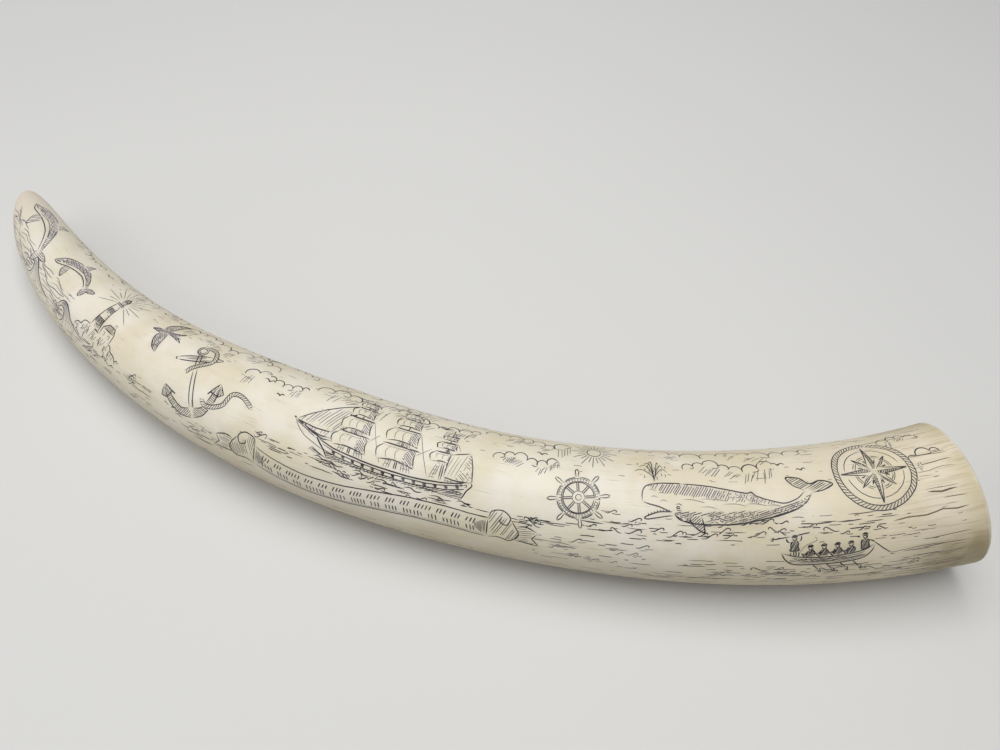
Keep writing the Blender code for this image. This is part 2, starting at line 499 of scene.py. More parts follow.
def draw_lighthouse(pen):
    """A banded tower on a rocky islet, with its keeper's house."""
    lantern = pen.box(-1.3, 10.2, 1.3, 12.8)
    for x in (-0.4, 0.5):
        pen.line((x, 10.3), (x, 12.7), thin=0.6)
    dome = pen.curve((-1.7, 12.8), (-1.2, 14.0), (0, 14.9), (1.2, 14.0), (1.7, 12.8))
    pen.line((0, 14.9), (0, 16.2), thin=0.8)
    pen.hatch([*dome, (-1.7, 12.8)], 80, 0.5)
    pen.line((-2.5, 10.2), (2.5, 10.2))
    pen.line((-2.5, 9.5), (2.5, 9.5), thin=0.8)
    left = pen.line((-2.9, -5.2), (-1.7, 9.5))
    right = pen.line((1.7, 9.5), (2.9, -5.2))
    for low, high in ((-2.4, 0.6), (4.0, 6.6)):
        wide_low, wide_high = (2.66 - 0.0816 * (y + 2.4) for y in (low, high))
        for wide, y, sag in ((wide_low, low, 0.5), (wide_high, high, 0.4)):
            pen.curve((-wide, y), (0, y - sag), (wide, y), thin=0.7)
        band = ((-wide_low, low), (-wide_high, high), (wide_high, high), (wide_low, low))
        pen.hatch(band, 90, 0.42, ragged=0.03)
    pen.hatch([(0.7, -5), (0.9, 9.3), (1.7, 9.3), (2.8, -5)], 4, 0.75, thin=0.5, ragged=0.3)
    pen.line((-0.6, -5.0), (-0.6, -3.2), (0.5, -3.2), (0.5, -5.0), thin=0.7)
    house = pen.line((4.0, -5.6), (4.0, -1.6), (6.4, 0.8), (10.4, 0.8), (12.0, -1.6), (12.0, -5.6))
    pen.line((4.0, -1.6), (12.0, -1.6))
    pen.hatch([(4.4, -1.4), (6.5, 0.6), (10.3, 0.6), (11.6, -1.4)], 72, 0.65)
    for x in (5.6, 9.2):
        pen.box(x, -4.4, x + 1.2, -2.9, thin=0.7)
    pen.line((9.0, 0.8), (9.0, 2.6), (10.0, 2.6), (10.0, 0.8), thin=0.7)
    pen.cover([*left, *lantern[1:3], *right])
    pen.cover(house)
    rocks = pen.curve((-12.5, -11.0), (-10.4, -8.6), (-8.0, -8.0), (-6.8, -5.8), (-3.6, -5.0), (4.0, -5.4),
                      (12.6, -5.8), (14.6, -7.8), (17.4, -8.6), (19.0, -11.2))
    for x, y, lean in ((-9, -9, -0.7), (-6, -7, -0.5), (-2.6, -6.6, 0.3), (1.6, -7.2, 0.5), (6, -6.8, 0.3),
                       (9.6, -7.4, 0.7), (13.2, -8, 0.8), (-4.4, -9.4, 0.2), (4, -9.6, -0.4), (11, -10, 0.3)):
        pen.curve((x, y), (x + lean, y - 1.2), (x + lean * 0.4, y - 2.4), (x + lean * 2, y - 3.2), thin=0.8)
    pen.hatch([*rocks, (3, -10.6)], 68, 0.8, thin=0.5, skip=0.35, ragged=0.45)
    pen.cover([*rocks, (3, -12.4)])
    pen.rays((0, 11.5), range(-30, 225, 15), 3.0, 9.5, 14.0, 0.6, GREY)


def draw_sail(pen, middle, foot, head, width, bulge):
    """A square sail filled by wind from +x; the yard is along its head."""
    lean = 0.25 * bulge
    left = smooth([(middle - width * 0.44, head), (middle - width * 0.52 - bulge, (head + foot) / 2 + 0.4),
                   (middle - width * 0.53 - lean, foot)])
    right = smooth([(middle + width * 0.44, head), (middle + width * 0.50 - bulge * 0.75, (head + foot) / 2),
                    (middle + width * 0.52 - lean, foot)])
    sag = 0.16 * (head - foot)
    bottom = smooth([left[-1], (middle - lean * 2.4, foot + sag), right[-1]])
    pen.line((middle - width * 0.54, head + 0.25), (middle + width * 0.54, head + 0.25), thin=1.25)
    for part in (left, bottom, right):
        pen.path(part)
    for share in (0.25, 0.5, 0.75):
        seam = left + (right - left) * share
        seam[:, 1] += sag * 4 * share * (1 - share) * (head - seam[:, 1]) / (head - foot)
        pen.path(seam, 0.5, GREY)
    shaded = join(right[::-1], left * 0.3 + right * 0.7)
    pen.hatch(shaded, -38, 0.75, thin=0.6, ink=VIOLET, ragged=0.2)
    pen.line((middle - width * 0.45, head - 0.8), (middle + width * 0.42, head - 0.8), thin=0.4, ink=GREY)
    pen.cover(join(left, bottom, right[::-1]))


def draw_ship(pen):
    """A three-masted ship under full sail, her bow towards -x, on the waterline y = 0."""
    masts = ((-19.5, 1.0, 31.5), (0.0, 1.08, 34.5), (18.0, 0.82, 28.0))
    levels = ((6.6, 13.0, 13.6), (14.4, 20.4, 11.6), (21.8, 26.2, 9.2), (27.4, 30.6, 6.8))
    spanker = pen.curve((19.4, 7.4), (19.6, 12.0), (19.8, 16.6))
    gaff = pen.line((19.8, 16.6), (27.4, 19.4))
    aft = pen.curves(((27.4, 19.4), (29.6, 13.0), (30.6, 7.6)), ((30.6, 7.6), (25.0, 6.9), (19.4, 7.4)))
    sail = join(spanker, gaff, aft)
    pen.hatch(sail, 74, 1.5, thin=0.45, ink=GREY, ragged=0.1)
    pen.hatch(sail[sail[:, 0] > 23], -35, 1.0, thin=0.5, ragged=0.3)
    pen.cover(sail)
    for middle, scale, _ in masts:
        for level, (foot, head, width) in enumerate(levels):
            if scale < 1 and level == 0:
                continue
            foot, head = foot * scale + 0.6 * (scale < 1), head * scale
            draw_sail(pen, middle, foot, head, width * scale, 1.5 - 0.25 * level)
    for tip, peak, base in (((-44.5, 11.0), (-22.6, 27.0), (-24.6, 11.5)),
                            ((-40.5, 9.6), (-22.4, 21.6), (-25.4, 8.8)),
                            ((-36.4, 8.4), (-22.2, 16.0), (-26.4, 7.8))):
        jib = pen.curves((tip, ((tip[0] + peak[0]) / 2 - 0.8, (tip[1] + peak[1]) / 2 + 0.6), peak),
                         (peak, ((peak[0] + base[0]) / 2 - 1.6, (peak[1] + base[1]) / 2), base),
                         (base, ((tip[0] + base[0]) / 2, (tip[1] + base[1]) / 2 - 1.1), tip))
        pen.fill(jib, 62, 1.25, thin=0.55, ink=VIOLET, ragged=0.25)

    sheer = pen.curve((-33.5, 7.0), (-24.0, 4.9), (-8.0, 3.9), (8.0, 4.0), (20.0, 5.2), (30.0, 7.6),
                      thin=1.15)
    stern = pen.curve((30.0, 7.6), (30.8, 6.4), (29.2, 4.2), (28.2, 1.6), (27.4, 0), thin=1.15)
    bow = pen.curve((-27.0, 0), (-28.6, 2.4), (-31.0, 4.6), (-33.5, 7.0), thin=1.15)
    for drop in (1.0, 2.5):
        pen.path([(x, y - drop) for x, y in sheer if -31 < x < 29], 0.8)
    for x in np.arange(-25, 26, 4.2):
        y = np.interp(x, *sheer.T) - 1.75
        pen.box(x - 0.6, y - 0.42, x + 0.6, y + 0.42, thin=0.8)
        pen.line((x - 0.45, y), (x + 0.45, y), thin=0.9)
    low = [(x, y - 2.6) for x, y in sheer if -29.5 < x < 28.5]
    below = [*low, (28.0, 1.6), (27.2, 0.2), (-26.9, 0.2), (-28.4, 2.0)]
    pen.hatch(below, 24, 0.62, thin=0.62, ragged=0.1)
    pen.hatch(below, -3, 0.85, thin=0.5, skip=0.2, ragged=0.3)
    for x in (24.4, 26.2, 28.0):
        pen.line((x, 5.4), (x, 6.2), (x + 0.9, 6.4), (x + 0.9, 5.6), (x, 5.4), thin=0.6)
    pen.cover(join(sheer, stern, [(27.4, 0), (-27.0, 0)], bow))
    pen.line((-32.6, 7.0), (-46.0, 11.6), thin=1.3)
    pen.line((-33.0, 6.2), (-45.6, 10.9), thin=0.7)
    pen.curve((-45.6, 11.2), (-39.0, 6.0), (-29.6, 3.0), thin=0.6)
    for middle, _, top in masts:
        for low, high in ((-0.35, -0.2), (0.45, 0.3)):
            pen.line((middle + low, 5.0), (middle + high, top * 0.62), thin=0.9)
        pen.line((middle, top * 0.6), (middle, top + 1.4), thin=0.9)
        pen.curve((middle, top + 1.2), (middle - 2.4, top + 1.9), (middle - 4.6, top + 1.0),
                  (middle - 7.0, top + 1.7), thin=0.8)
        pen.curve((middle, top + 0.4), (middle - 2.6, top + 0.9), (middle - 7.0, top + 1.7), thin=0.6)
        for reach in (-4.6, -3.4, -2.4, 2.6, 3.8, 5.0, 6.2):
            pen.line((middle + reach, 4.8), (middle + 0.1 * reach, top * 0.66), thin=0.5, ink=GREY)
        for rung in range(5):
            y = 6.2 + 1.5 * rung
            narrowing = 1 - 0.85 * (y - 4.8) / (top * 0.66 - 4.8)
            for near, far in ((-4.6, -2.4), (2.6, 6.2)):
                pen.line((middle + near * narrowing, y), (middle + far * narrowing, y), thin=0.45, ink=GREY)
        pen.line((middle, top), (middle + 13.0, 5.6), thin=0.5, ink=GREY)
        pen.line((middle, top * 0.8), (middle - 17.0, 7.4), thin=0.5, ink=GREY)
    for x, y, length in ((-29.6, -0.4, 6), (-24, -0.9, 9), (-12, -0.7, 8), (-2, -1.2, 10), (9, -0.8, 8),
                         (20, -1.1, 9), (29, -0.6, 6)):
        pen.curve((x - length / 2, y), (x - 1, y + 0.6), (x + 1.4, y - 0.3), (x + length / 2, y + 0.2),
                  thin=0.9)
    for flick in range(7):
        x, lift = -30.0 - 0.7 * flick, 0.1 * flick
        pen.curve((x + 2.6, 0.1 + lift), (x + 0.5, 0.9 + 2.8 * lift), (x - 1.2, 0.5 + lift), thin=0.6)


def draw_anchor(pen):
    """An old stocked anchor with its ring up (+y), fouled by its own rope."""
    rope(pen.on_plate([(0.6, 17.0), (5.8, 14.6), (6.2, 9.0), (-1.2, 6.0), (-4.2, 3.6)]), 1.7)
    rope(pen.on_plate([(4.6, -6.6), (7.2, -9.8), (14.0, -9.6), (18.4, -5.4), (23.0, -6.6), (27.0, -11.0)]),
         1.7)
    left = pen.line((-0.95, -10.5), (-0.75, 12.0))
    right = pen.line((0.75, 12.0), (0.95, -10.5))
    pen.hatch([(0.1, -10), (0.2, 11.6), (0.7, 11.6), (0.9, -10)], 6, 0.7, thin=0.6)
    pen.ring(0, 14.6, 2.3)
    pen.ring(0, 14.6, 1.5, thin=0.8)
    timber = pen.curves(((-9.6, 9.5), (-5.0, 8.9), (0, 8.7), (5.0, 8.9), (9.6, 9.5)),
                        ((9.6, 10.5), (5.0, 11.3), (0, 11.6), (-5.0, 11.3), (-9.6, 10.5)))
    for x, start in ((-9.6, 90), (9.6, -90)):
        pen.ring(x, 10.0, 0.6, 0.5, start, start + 180)
    pen.fill(timber, 4, 0.7, thin=0.55, ragged=0.3)
    pen.cover(join(left, right))
    for side in (-1, 1):
        flip = np.array([side, 1])
        outer = pen.curve(*(flip * [(0, -14.6), (6.0, -13.0), (11.0, -8.0), (12.6, -2.8)]))
        inner = pen.curve(*(flip * [(0.9, -10.5), (5.0, -10.2), (8.8, -6.6), (10.9, -2.9)]))
        fluke = pen.line(*(flip * [(12.8, -1.0), (14.6, -5.4), (12.2, -6.4), (9.0, -4.2), (7.6, -5.0),
                                   (12.8, -1.0)]))
        pen.fill(fluke, 60 * side, 0.7)
        pen.fill(join(outer, inner[::-1]), -35 * side, 0.75, thin=0.6)


def draw_rose(pen, reach):
    """A compass rose of sixteen points, and its rings."""
    for length, width, start, step in ((1.0, 0.13, 0, 90), (0.72, 0.11, 45, 90), (0.46, 0.06, 22.5, 45)):
        for turn in np.arange(start, 360 + start, step):
            along, up = directions(turn)
            point = reach * np.array([far * along + aside * up for far, aside in (
                (0, 0), (width * 1.5, width), (length, 0), (width * 1.5, -width))])
            pen.line(*point[1:], thin=0.8)
            pen.line(point[0], point[2], thin=0.6)
            pen.hatch(point[[0, 3, 2]], turn + 50, 0.55, thin=0.65, ragged=0.05)
            if step == 90:
                pen.cover(point)
    for share in (0.54, 0.60, 0.86):
        pen.ring(0, 0, reach * share, thin=0.6)


def draw_whale(pen):
    """A sperm whale at the surface, its square head towards -x."""
    back = pen.curve((-31.5, -1.0), (-32.0, 3.2), (-29.8, 6.4), (-22.0, 8.0), (-10.0, 8.4), (2.0, 7.2),
                     (8.4, 6.2), (10.4, 6.8), (12.2, 5.2), (17.0, 3.8), (23.0, 2.8), (28.0, 4.6), (31.4, 8.0),
                     thin=1.1)
    fluke = pen.curve((31.4, 8.0), (27.2, 10.0), (24.6, 13.6), (29.8, 13.4), (33.4, 10.8), (37.8, 12.2),
                      (42.6, 10.6), (38.4, 8.0), (34.0, 7.2), thin=1.1)
    belly = pen.curve((34.0, 7.2), (30.6, 2.4), (25.0, -0.6), (16.0, -3.6), (4.0, -6.4), (-8.0, -7.4),
                      (-16.0, -6.6), (-19.0, -4.2), thin=1.1)
    chin = pen.curve((-19.0, -4.2), (-24.0, -2.4), (-29.0, -1.6), (-31.5, -1.0), thin=1.1)
    jaw = pen.curve((-18.4, -5.0), (-22.0, -5.6), (-28.4, -7.6), (-29.8, -6.8), (-25.0, -4.4), (-19.6, -3.6),
                    thin=1.1)
    for x in np.arange(-28.6, -20.5, 1.1):
        y = np.interp(x, [-29.8, -25.0, -19.6], [-6.8, -4.4, -3.6])
        pen.line((x, y), (x - 0.15, y + 0.9), thin=0.8)
    pen.cover(jaw)
    pen.ring(-17.6, -1.7, 0.65, 0.45)
    pen.curve((-18.8, -0.7), (-17.4, -0.2), (-16.0, -0.9), thin=0.7)
    pen.curve((-18.6, -2.5), (-17.4, -2.9), (-16.2, -2.4), thin=0.6)
    pen.fill(pen.curve((-13.4, -4.2), (-11.6, -8.0), (-7.0, -10.6), (-7.6, -7.4), (-8.8, -4.0)), 48, 0.8)
    under = join(belly, smooth([(-19.0, -3.4), (-8.0, -2.4), (6.0, -0.8), (18.0, 0.4), (30.0, 4.4)]))
    pen.hatch(under, 20, 0.75, thin=0.7, ragged=0.14)
    pen.hatch(under, -28, 1.2, thin=0.6, ink=VIOLET, skip=0.2, ragged=0.3)
    top = join(back[14:], smooth([(27.0, 3.6), (14.0, 2.0), (-8.0, 2.6), (-26.0, 3.4), (-29.0, 5.4)]))
    pen.hatch(top, 64, 0.85, thin=0.65, ink=VIOLET, skip=0.06, ragged=0.22)
    pen.hatch(top[top[:, 0] > -6], -22, 1.0, thin=0.5, skip=0.15, ragged=0.25)
    pen.hatch(fluke, 30, 0.8)
    for x, y, length in ((-12, 1.6, 9), (-4, 2.6, 11), (4, 1.2, 10), (12, 1.8, 8), (-6, -0.6, 7),
                         (19, 1.6, 6)):
        pen.curve((x - length / 2, y), (x, y + 0.35), (x + length / 2, y - 0.3), thin=0.55, ink=GREY)
    for x, y in ((-29.5, 4.2), (-28.6, 1.4), (-25.8, 3.2), (-24.8, 0.2)):
        pen.curve((x, y), (x + 1.4, y + 0.5), (x + 3.0, y), thin=0.55, ink=GREY)
    pen.cover(join(back, fluke, belly, chin))
    for reach, drop in ((-6.5, 0), (-4.6, 1.6), (-8.4, -2.6), (3.4, 0.8), (5.4, -1.4), (-2.6, 2.6),
                        (1.6, 2.4)):
        lean = math.copysign(0.6, reach)
        pen.curve((-27.5, 7.4), (-27.8 + lean, 12.0 + drop * 0.5), (-27.8 + reach * 0.6, 16.0 + drop),
                  (-27.8 + reach, 14.4 + drop), thin=0.7)
    for _ in range(16):
        x, y = -28.5 + hand.uniform(-7.5, 6.0), hand.uniform(10.5, 17.5)
        pen.curve((x, y), (x + 0.4, y - 0.7), (x + 0.3, y - 1.5), thin=0.55, ink=GREY)


def draw_head(pen, x, y):
    """A small plain head under a flat cap."""
    cap = pen.curve((x - 1.3, y + 0.3), (x - 0.8, y + 0.95), (x, y + 1.3), (x + 0.85, y + 0.95),
                    (x + 1.0, y + 0.2), thin=0.8)
    pen.fill(cap, 2, 0.42, thin=0.85, ragged=0.04)
    pen.ring(x, y, 0.8, 0.95, thin=0.8)
    pen.hatch([(x + 0.2, y - 0.8), (x + 0.1, y + 0.3), (x + 0.8, y + 0.3), (x + 0.7, y - 0.6)], 70, 0.35)
    pen.cover(oval(x, y, 0.9, 1.0, np.linspace(0, 6, 12)))


def draw_whaleboat(pen):
    """A double-ended boat pulled by four, with a steersman and one who stands in the bow with a harpoon."""
    gunwale = pen.curve((-17.5, 3.6), (-12.0, 1.5), (-3.0, 0.4), (6.0, 0.6), (13.0, 1.8), (17.5, 4.2),
                        thin=1.1)
    keel = pen.curve((17.5, 4.2), (15.6, 0.4), (11.6, -2.4), (0, -3.2), (-11.6, -2.6), (-15.6, 0.2),
                     (-17.5, 3.6), thin=1.1)
    for drop in (0.9, 1.9):
        pen.path([(x, y - drop) for x, y in gunwale if abs(x) < 15.2 - drop], 0.6)
    boat = join(gunwale, keel)
    pen.hatch(boat[boat[:, 1] < 0.4], 12, 0.7, thin=0.55, ragged=0.15)
    pen.cover(boat)
    for x in (-7.6, -2.6, 2.4, 7.4):
        draw_head(pen, x + 0.9, 5.2)
        torso = pen.curves(((x + 2.2, 1.0), (x + 2.5, 2.8), (x + 1.9, 3.9), (x + 1.1, 4.3)),
                           ((x + 0.5, 4.2), (x - 0.5, 3.0), (x - 0.5, 1.0)))
        pen.curve((x + 1.3, 3.7), (x - 0.4, 2.7), (x - 2.2, 2.6), thin=0.9)
        pen.curve((x + 0.6, 2.9), (x - 0.6, 2.2), (x - 2.1, 2.2), thin=0.9)
        pen.fill(torso, 62, 0.5, thin=0.7, ragged=0.05)
        pen.line((x - 2.4, 2.9), (x + 4.6, -6.2), thin=0.9)
        pen.curve((x + 4.6, -6.2), (x + 5.0, -7.4), (x + 5.9, -8.2), (x + 5.5, -6.4), (x + 4.9, -5.9),
                  thin=0.8)
    draw_head(pen, -12.6, 9.7)
    coat = pen.curve((-13.1, 8.7), (-14.0, 7.8), (-13.9, 5.6), (-14.2, 4.4), (-11.0, 4.4), (-11.4, 5.8),
                     (-11.2, 7.8), (-12.1, 8.7))
    pen.fill(coat, 66, 0.5, thin=0.7, ragged=0.05)
    for leg in (((-13.8, 4.4), (-14.0, 3.0), (-13.5, 1.8)), ((-12.9, 4.4), (-12.9, 3.0), (-12.6, 1.7)),
                ((-12.3, 4.4), (-11.9, 3.0), (-12.0, 1.5)), ((-11.3, 4.4), (-10.9, 3.0), (-11.1, 1.2))):
        pen.curve(*leg, thin=0.85)
    pen.curves(((-11.3, 7.9), (-10.2, 9.2), (-10.3, 11.0)), ((-13.8, 7.7), (-15.4, 8.6), (-15.8, 10.2)))
    pen.line((-7.0, 11.6), (-22.0, 9.4), thin=0.9)
    pen.line((-22.0, 9.4), (-20.6, 10.3), (-20.8, 8.9), (-22.0, 9.4), thin=0.8)
    pen.curve((-7.0, 11.6), (-4.4, 8.4), (-8.6, 6.4), (-11.0, 2.6), thin=0.5, ink=GREY)
    draw_head(pen, 13.6, 7.8)
    coat = pen.curve((13.1, 6.8), (12.2, 6.0), (12.1, 3.8), (12.4, 2.2), (14.9, 2.9), (14.8, 4.6),
                     (15.0, 6.0), (14.1, 6.8))
    pen.fill(coat, 62, 0.5, thin=0.7, ragged=0.05)
    pen.curve((14.8, 5.9), (15.8, 5.8), (17.0, 5.0))
    pen.line((16.0, 5.8), (24.5, -2.4), thin=0.9)
    pen.cover([(-17.5, 3.6), (-17.0, 11.0), (-8.0, 12.4), (-7.4, 7.0), (11.6, 7.0), (12.0, 9.4), (15.8, 9.4),
               (17.5, 4.2)])


def draw_ribbon(pen):
    """A scroll that hangs in waves, its ends rolled, with rows of plain slanting ticks along it."""
    def wave(x):
        return 3.3 * math.sin((x + 6) / 17.0) + 0.0016 * x * x

    half, tall = 47.0, 8.4
    xs = np.linspace(-half, half, 60)
    top, bottom = (pen.path(np.array([(x, wave(x) + rise) for x in xs]), 1.05)
                   for rise in (tall / 2, -tall / 2))
    for end in (top[0], top[-1]):
        pen.line(end, end + (0, -tall))
    for rise, slant in ((1.55, 0.35), (-1.75, -0.3)):
        x = -half + 4.0
        while x < half - 4.0:
            for _ in range(hand.randint(3, 6)):
                if x > half - 3.6:
                    break
                y = wave(x) + rise
                tick = 1.15 * hand.uniform(0.8, 1.1)
                pen.line((x - slant, y - tick), (x + slant, y + tick), thin=0.95)
                x += hand.uniform(1.15, 1.5)
            x += 1.7
    pen.path(bottom + (0, 0.7), 0.5, GREY)
    for side in (-1, 1):
        for step in range(9):
            x = side * (half - 0.7 - 0.45 * step)
            y = wave(x)
            shrink = 1 - step * 0.09
            pen.line((x, y - tall * 0.46 * shrink), (x - side * 0.3, y + tall * 0.42 * shrink), thin=0.5)
    pen.cover(join(top, bottom[::-1]))
    for side, corner in ((-1, top[0]), (1, top[-1])):
        flip = np.array([side, 1])
        tail = pen.curve(*(corner + flip * [(0, 0), (1.0, 3.0), (5.0, 4.0), (8.0, 1.6), (7.0, -1.4),
                                            (4.4, -0.6), (4.8, 1.0)]))
        low = pen.curve(*(corner + flip * [(0, -tall), (4.0, -tall + 1.0), (8.6, -tall + 0.2), (11.6, -4.6),
                                           (8.0, 1.4)]))
        pen.fill(join(tail[:26], low[::-1]), 65 * side, 0.85, thin=0.55, ragged=0.2, skip=0.1)
        ends = corner + flip * [(9.6, -1.6), (14.0, -0.6), (18.6, -2.6), (16.4, -5.2), (19.4, -8.6),
                                (14.4, -7.8), (10.4, -7.4)]
        pen.curve(*ends[:3])
        pen.line(*ends[2:5])
        pen.curve(*ends[4:])
        pen.fill(ends, 8 * side, 0.9, thin=0.5, ragged=0.35)


def draw_sloop(pen):
    """A small one-masted boat, her bow towards -x."""
    sail = pen.curves(((1.0, 3.0), (1.0, 12.0), (1.2, 20.0)), ((1.2, 20.0), (7.4, 12.0), (11.6, 3.4)),
                      ((11.6, 3.4), (6.0, 2.4), (1.0, 3.0)))
    jib = pen.curves(((-10.6, 3.6), (-6.4, 10.0), (0, 18.0)), ((0, 18.0), (-2.6, 9.6), (-2.4, 3.4)),
                     ((-2.4, 3.4), (-6.0, 2.6), (-10.6, 3.6)))
    pen.hatch(sail, 62, 1.4, thin=0.5, ink=GREY)
    pen.hatch(jib, 55, 1.4, thin=0.5)
    pen.cover(sail)
    pen.cover(jib)
    hull = pen.curve((-11.6, 2.8), (-9.4, -0.6), (-2.0, -1.6), (8.6, -1.0), (10.6, 2.0), (0, 1.2),
                     (-11.6, 2.8), thin=1.1)
    pen.fill(hull, 10, 0.7)
    pen.line((0.5, 1.4), (0.5, 22.0))


def draw_whale_tail(pen):
    """Flukes going down in a ring of water."""
    left = pen.curve((-2.4, -6.0), (-1.4, -1.0), (-0.8, 3.6))
    right = pen.curve((2.4, -6.0), (1.4, -1.0), (0.8, 3.6))
    flukes = pen.curve((-0.8, 3.6), (-5.0, 5.4), (-9.4, 9.6), (-5.6, 8.8), (-1.6, 8.2), (0, 7.0), (1.6, 8.2),
                       (5.6, 8.8), (9.4, 9.6), (5.0, 5.4), (0.8, 3.6))
    pen.hatch(flukes, 12, 0.8, ragged=0.2)
    pen.hatch(join(left, right[::-1]), 60, 0.8)
    pen.cover(flukes)
    for wide, tall in ((4.6, 1.2), (7.6, 1.9), (11.0, 2.6)):
        pen.ring(0, -6.2, wide, tall, 150, 395, thin=0.7)


def engrave():
    """The whole design, nearest things first, so that the sea and sky run behind them."""
    draw_ribbon(Pen(268, -19.5))
    draw_dolphin(Pen(46, 3.4, 0.98, turn=-8, long=1.36))
    draw_dolphin(Pen(90, 4.6, 0.74, turn=7, long=1.3))
    draw_breaker(Pen(72, -12.5, 0.74, turn=2, long=1.25))
    draw_breaker(Pen(107, -14.5, 0.8, turn=6))
    draw_lighthouse(Pen(124, -2.0, 1.02, turn=-4))
    draw_anchor(Pen(184, -1.5, 1.04, turn=24))
    draw_swallow(Pen(155, 11.0, 0.66, turn=14))
    draw_ship(Pen(277, -7.5, 0.97))
    draw_wheel(Pen(346, 2.0), 11.5)
    draw_whale(Pen(398, 2.5, 0.92, turn=-3))
    draw_whaleboat(Pen(434, -17.5, 0.92, turn=2))
    ring = oval(454, 13.5, 14, 14, np.radians(range(80, 441, 15)))
    rope(ring, 1.9)
    draw_rose(Pen(454, 13.5), 12.2)
    covered.append(ring)
    drying_cracks(22)
    cut([(483.5, -4.4), (479, -4.9), (474, -4.1), (468, -5.2), (462, -5.0), (456, -5.6)], LINE_MM * 1.15,
        UMBER)
    cut([(481, 2.6), (475, 2.2), (470, 2.9)], LINE_MM * 1.3, UMBER)
    draw_sun(Pen(350, 24.0, ink=GREY), 9.0)
    draw_rose(Pen(300, 52.0, ink=GREY), 15.0)
    draw_sloop(Pen(205, 46.0, turn=180, ink=GREY))
    draw_whale_tail(Pen(392, 50.0, 1.1, turn=180, ink=GREY))
    for x, y, size, turn in ((100, 15, 0.9, 10), (106, 19, 0.7, -6), (142, 20, 0.6, -5), (26, -9, 0.6, 30),
                             (214, 13, 0.8, 5), (222, 9, 0.6, 10), (330, 18, 0.7, 0), (420, 20, 0.8, -4),
                             (428, 17, 0.6, 8), (250, 52, 0.9, 180), (352, 46, 0.9, 175)):
        draw_gull(Pen(x, y, size, turn=turn))

    for wave_area, waves, size, dash_area, count, longest in (
            ((96, 158, -19, -13), 20, 2.8, (88, 166, -25, -12), 70, 9),
            ((220, 336, -12, -8), 28, 3.2, (214, 342, -12.5, -8), 64, 11),
            ((350, 462, -9, -2), 32, 3.4, (346, 466, -12, -1), 84, 13),
            ((392, 468, -29, -22), 20, 3.2, (378, 472, -32, -17), 92, 12)):
        crests(*wave_area, waves, size)
        dashes(*dash_area, count, longest)
    swell(16, 104, -16, -3.5, 1.25)
    crests(16, 100, -15, -4, 10, 2.4, ink=VIOLET)
    dashes(166, 222, -25, -14, 40, 10, ink=GREY)
    crests(166, 224, -22, -15, 12, 2.8, ink=GREY)
    dashes(330, 372, -26, -13, 40, 10, ink=GREY)
    crests(332, 376, -24, -14, 10, 2.8, ink=GREY)

    for bump, shade, route in (
            (4.6, 0.3, [(58, 16), (68, 18), (80, 14), (94, 18)]),
            (5.4, 0.4, [(96, 23), (112, 24), (126, 21), (142, 25), (156, 21)]),
            (5.6, 0.5, [(160, 20), (172, 23), (186, 19), (200, 24), (214, 20)]),
            (6.0, 0.0, [(166, 27), (182, 30), (198, 27), (214, 30), (230, 26)]),
            (4.6, 0.5, [(202, 12), (211, 16), (221, 13), (231, 17)]),
            (5.2, 0.7, [(234, 19), (246, 23), (258, 20), (272, 24), (288, 20), (304, 24)]),
            (5.6, 0.6, [(238, 28), (252, 31), (268, 28), (284, 31), (300, 29)]),
            (5.8, 0.4, [(306, 25), (320, 27), (334, 23), (340, 27)]),
            (4.6, 0.6, [(312, 12), (320, 15), (330, 12), (336, 16)]),
            (6.0, 0.4, [(360, 27), (374, 29), (390, 25), (404, 29), (420, 26), (434, 29)]),
            (4.8, 0.5, [(384, 18), (394, 21), (406, 17), (418, 21)]),
            (5.0, 0.4, [(462, 27), (471, 30), (480, 26)]),
            (4.4, 0.4, [(469, 14), (475, 19), (482, 17)])):
        scallops(route, bump, shade)
    for start in (120, 186, 250, 330, 404):
        scallops([(start, 37), (start + 16, 40), (start + 32, 36), (start + 48, 39)], 6.5, ink=GREY)
    for start, ink in ((96, GREY), (170, GREY), (240, GREY), (330, UMBER), (400, UMBER)):
        dashes(start, start + 80, 30, 66, 46, 10, thin=0.55, ink=ink)

    dashes(30, 130, -24, -14, 70, 5, thin=0.5, ink=GREY)
    dashes(130, 340, -46, -30, 190, 9, thin=0.5, ink=UMBER)
    dashes(340, 482, -50, -28, 190, 10, thin=0.55, ink=UMBER)
    dashes(455, 483, -26, 30, 40, 9, thin=0.5, ink=UMBER)
    dashes(100, 470, 10, 32, 130, 5, thin=0.5, ink=GREY)


# Plate: the flat sheet that is wrapped. Its rows run along the tusk, and the seam lies underneath
LENGTH_MM = AXIS_LENGTH / MM
NOSE_LENGTH_MM = 6.0
NOSE_RINGS = 10
COLUMNS = 180
ROWS = 56
FLAT_HALF_ANGLE = 11.2
FLAT_ROWS = 2
RIM_RINGS = 4
FACE_RINGS = 10
STROKE_BEND_MM = 0.035
STROKE_STEP_MM = 3.2
STROKE_END_SHARE = 0.65
MARK_GAP_MM = 0.15
SAME_PLACE_MM = 0.004

# Cut: 0 is its edge and 1 its middle; from where it sinks and how steeply, and from where it holds ink
CUT_FROM = 0.12
CUT_STEEPNESS = 1.15
INK_FROM = 0.05

# Ink: how far down a cut its top and its base lie at the middle, as shares of the cut's depth
INK_TOP = 0.20
INK_BASE = 0.85
INK_EDGE_MM = 0.010
INK_BRIDGE_MM = 0.05
HAZE_CELL_MM = 0.6
HAZE_PASSES = 12
HAZE_ROWS = 400
HAZE_MARGIN = 20

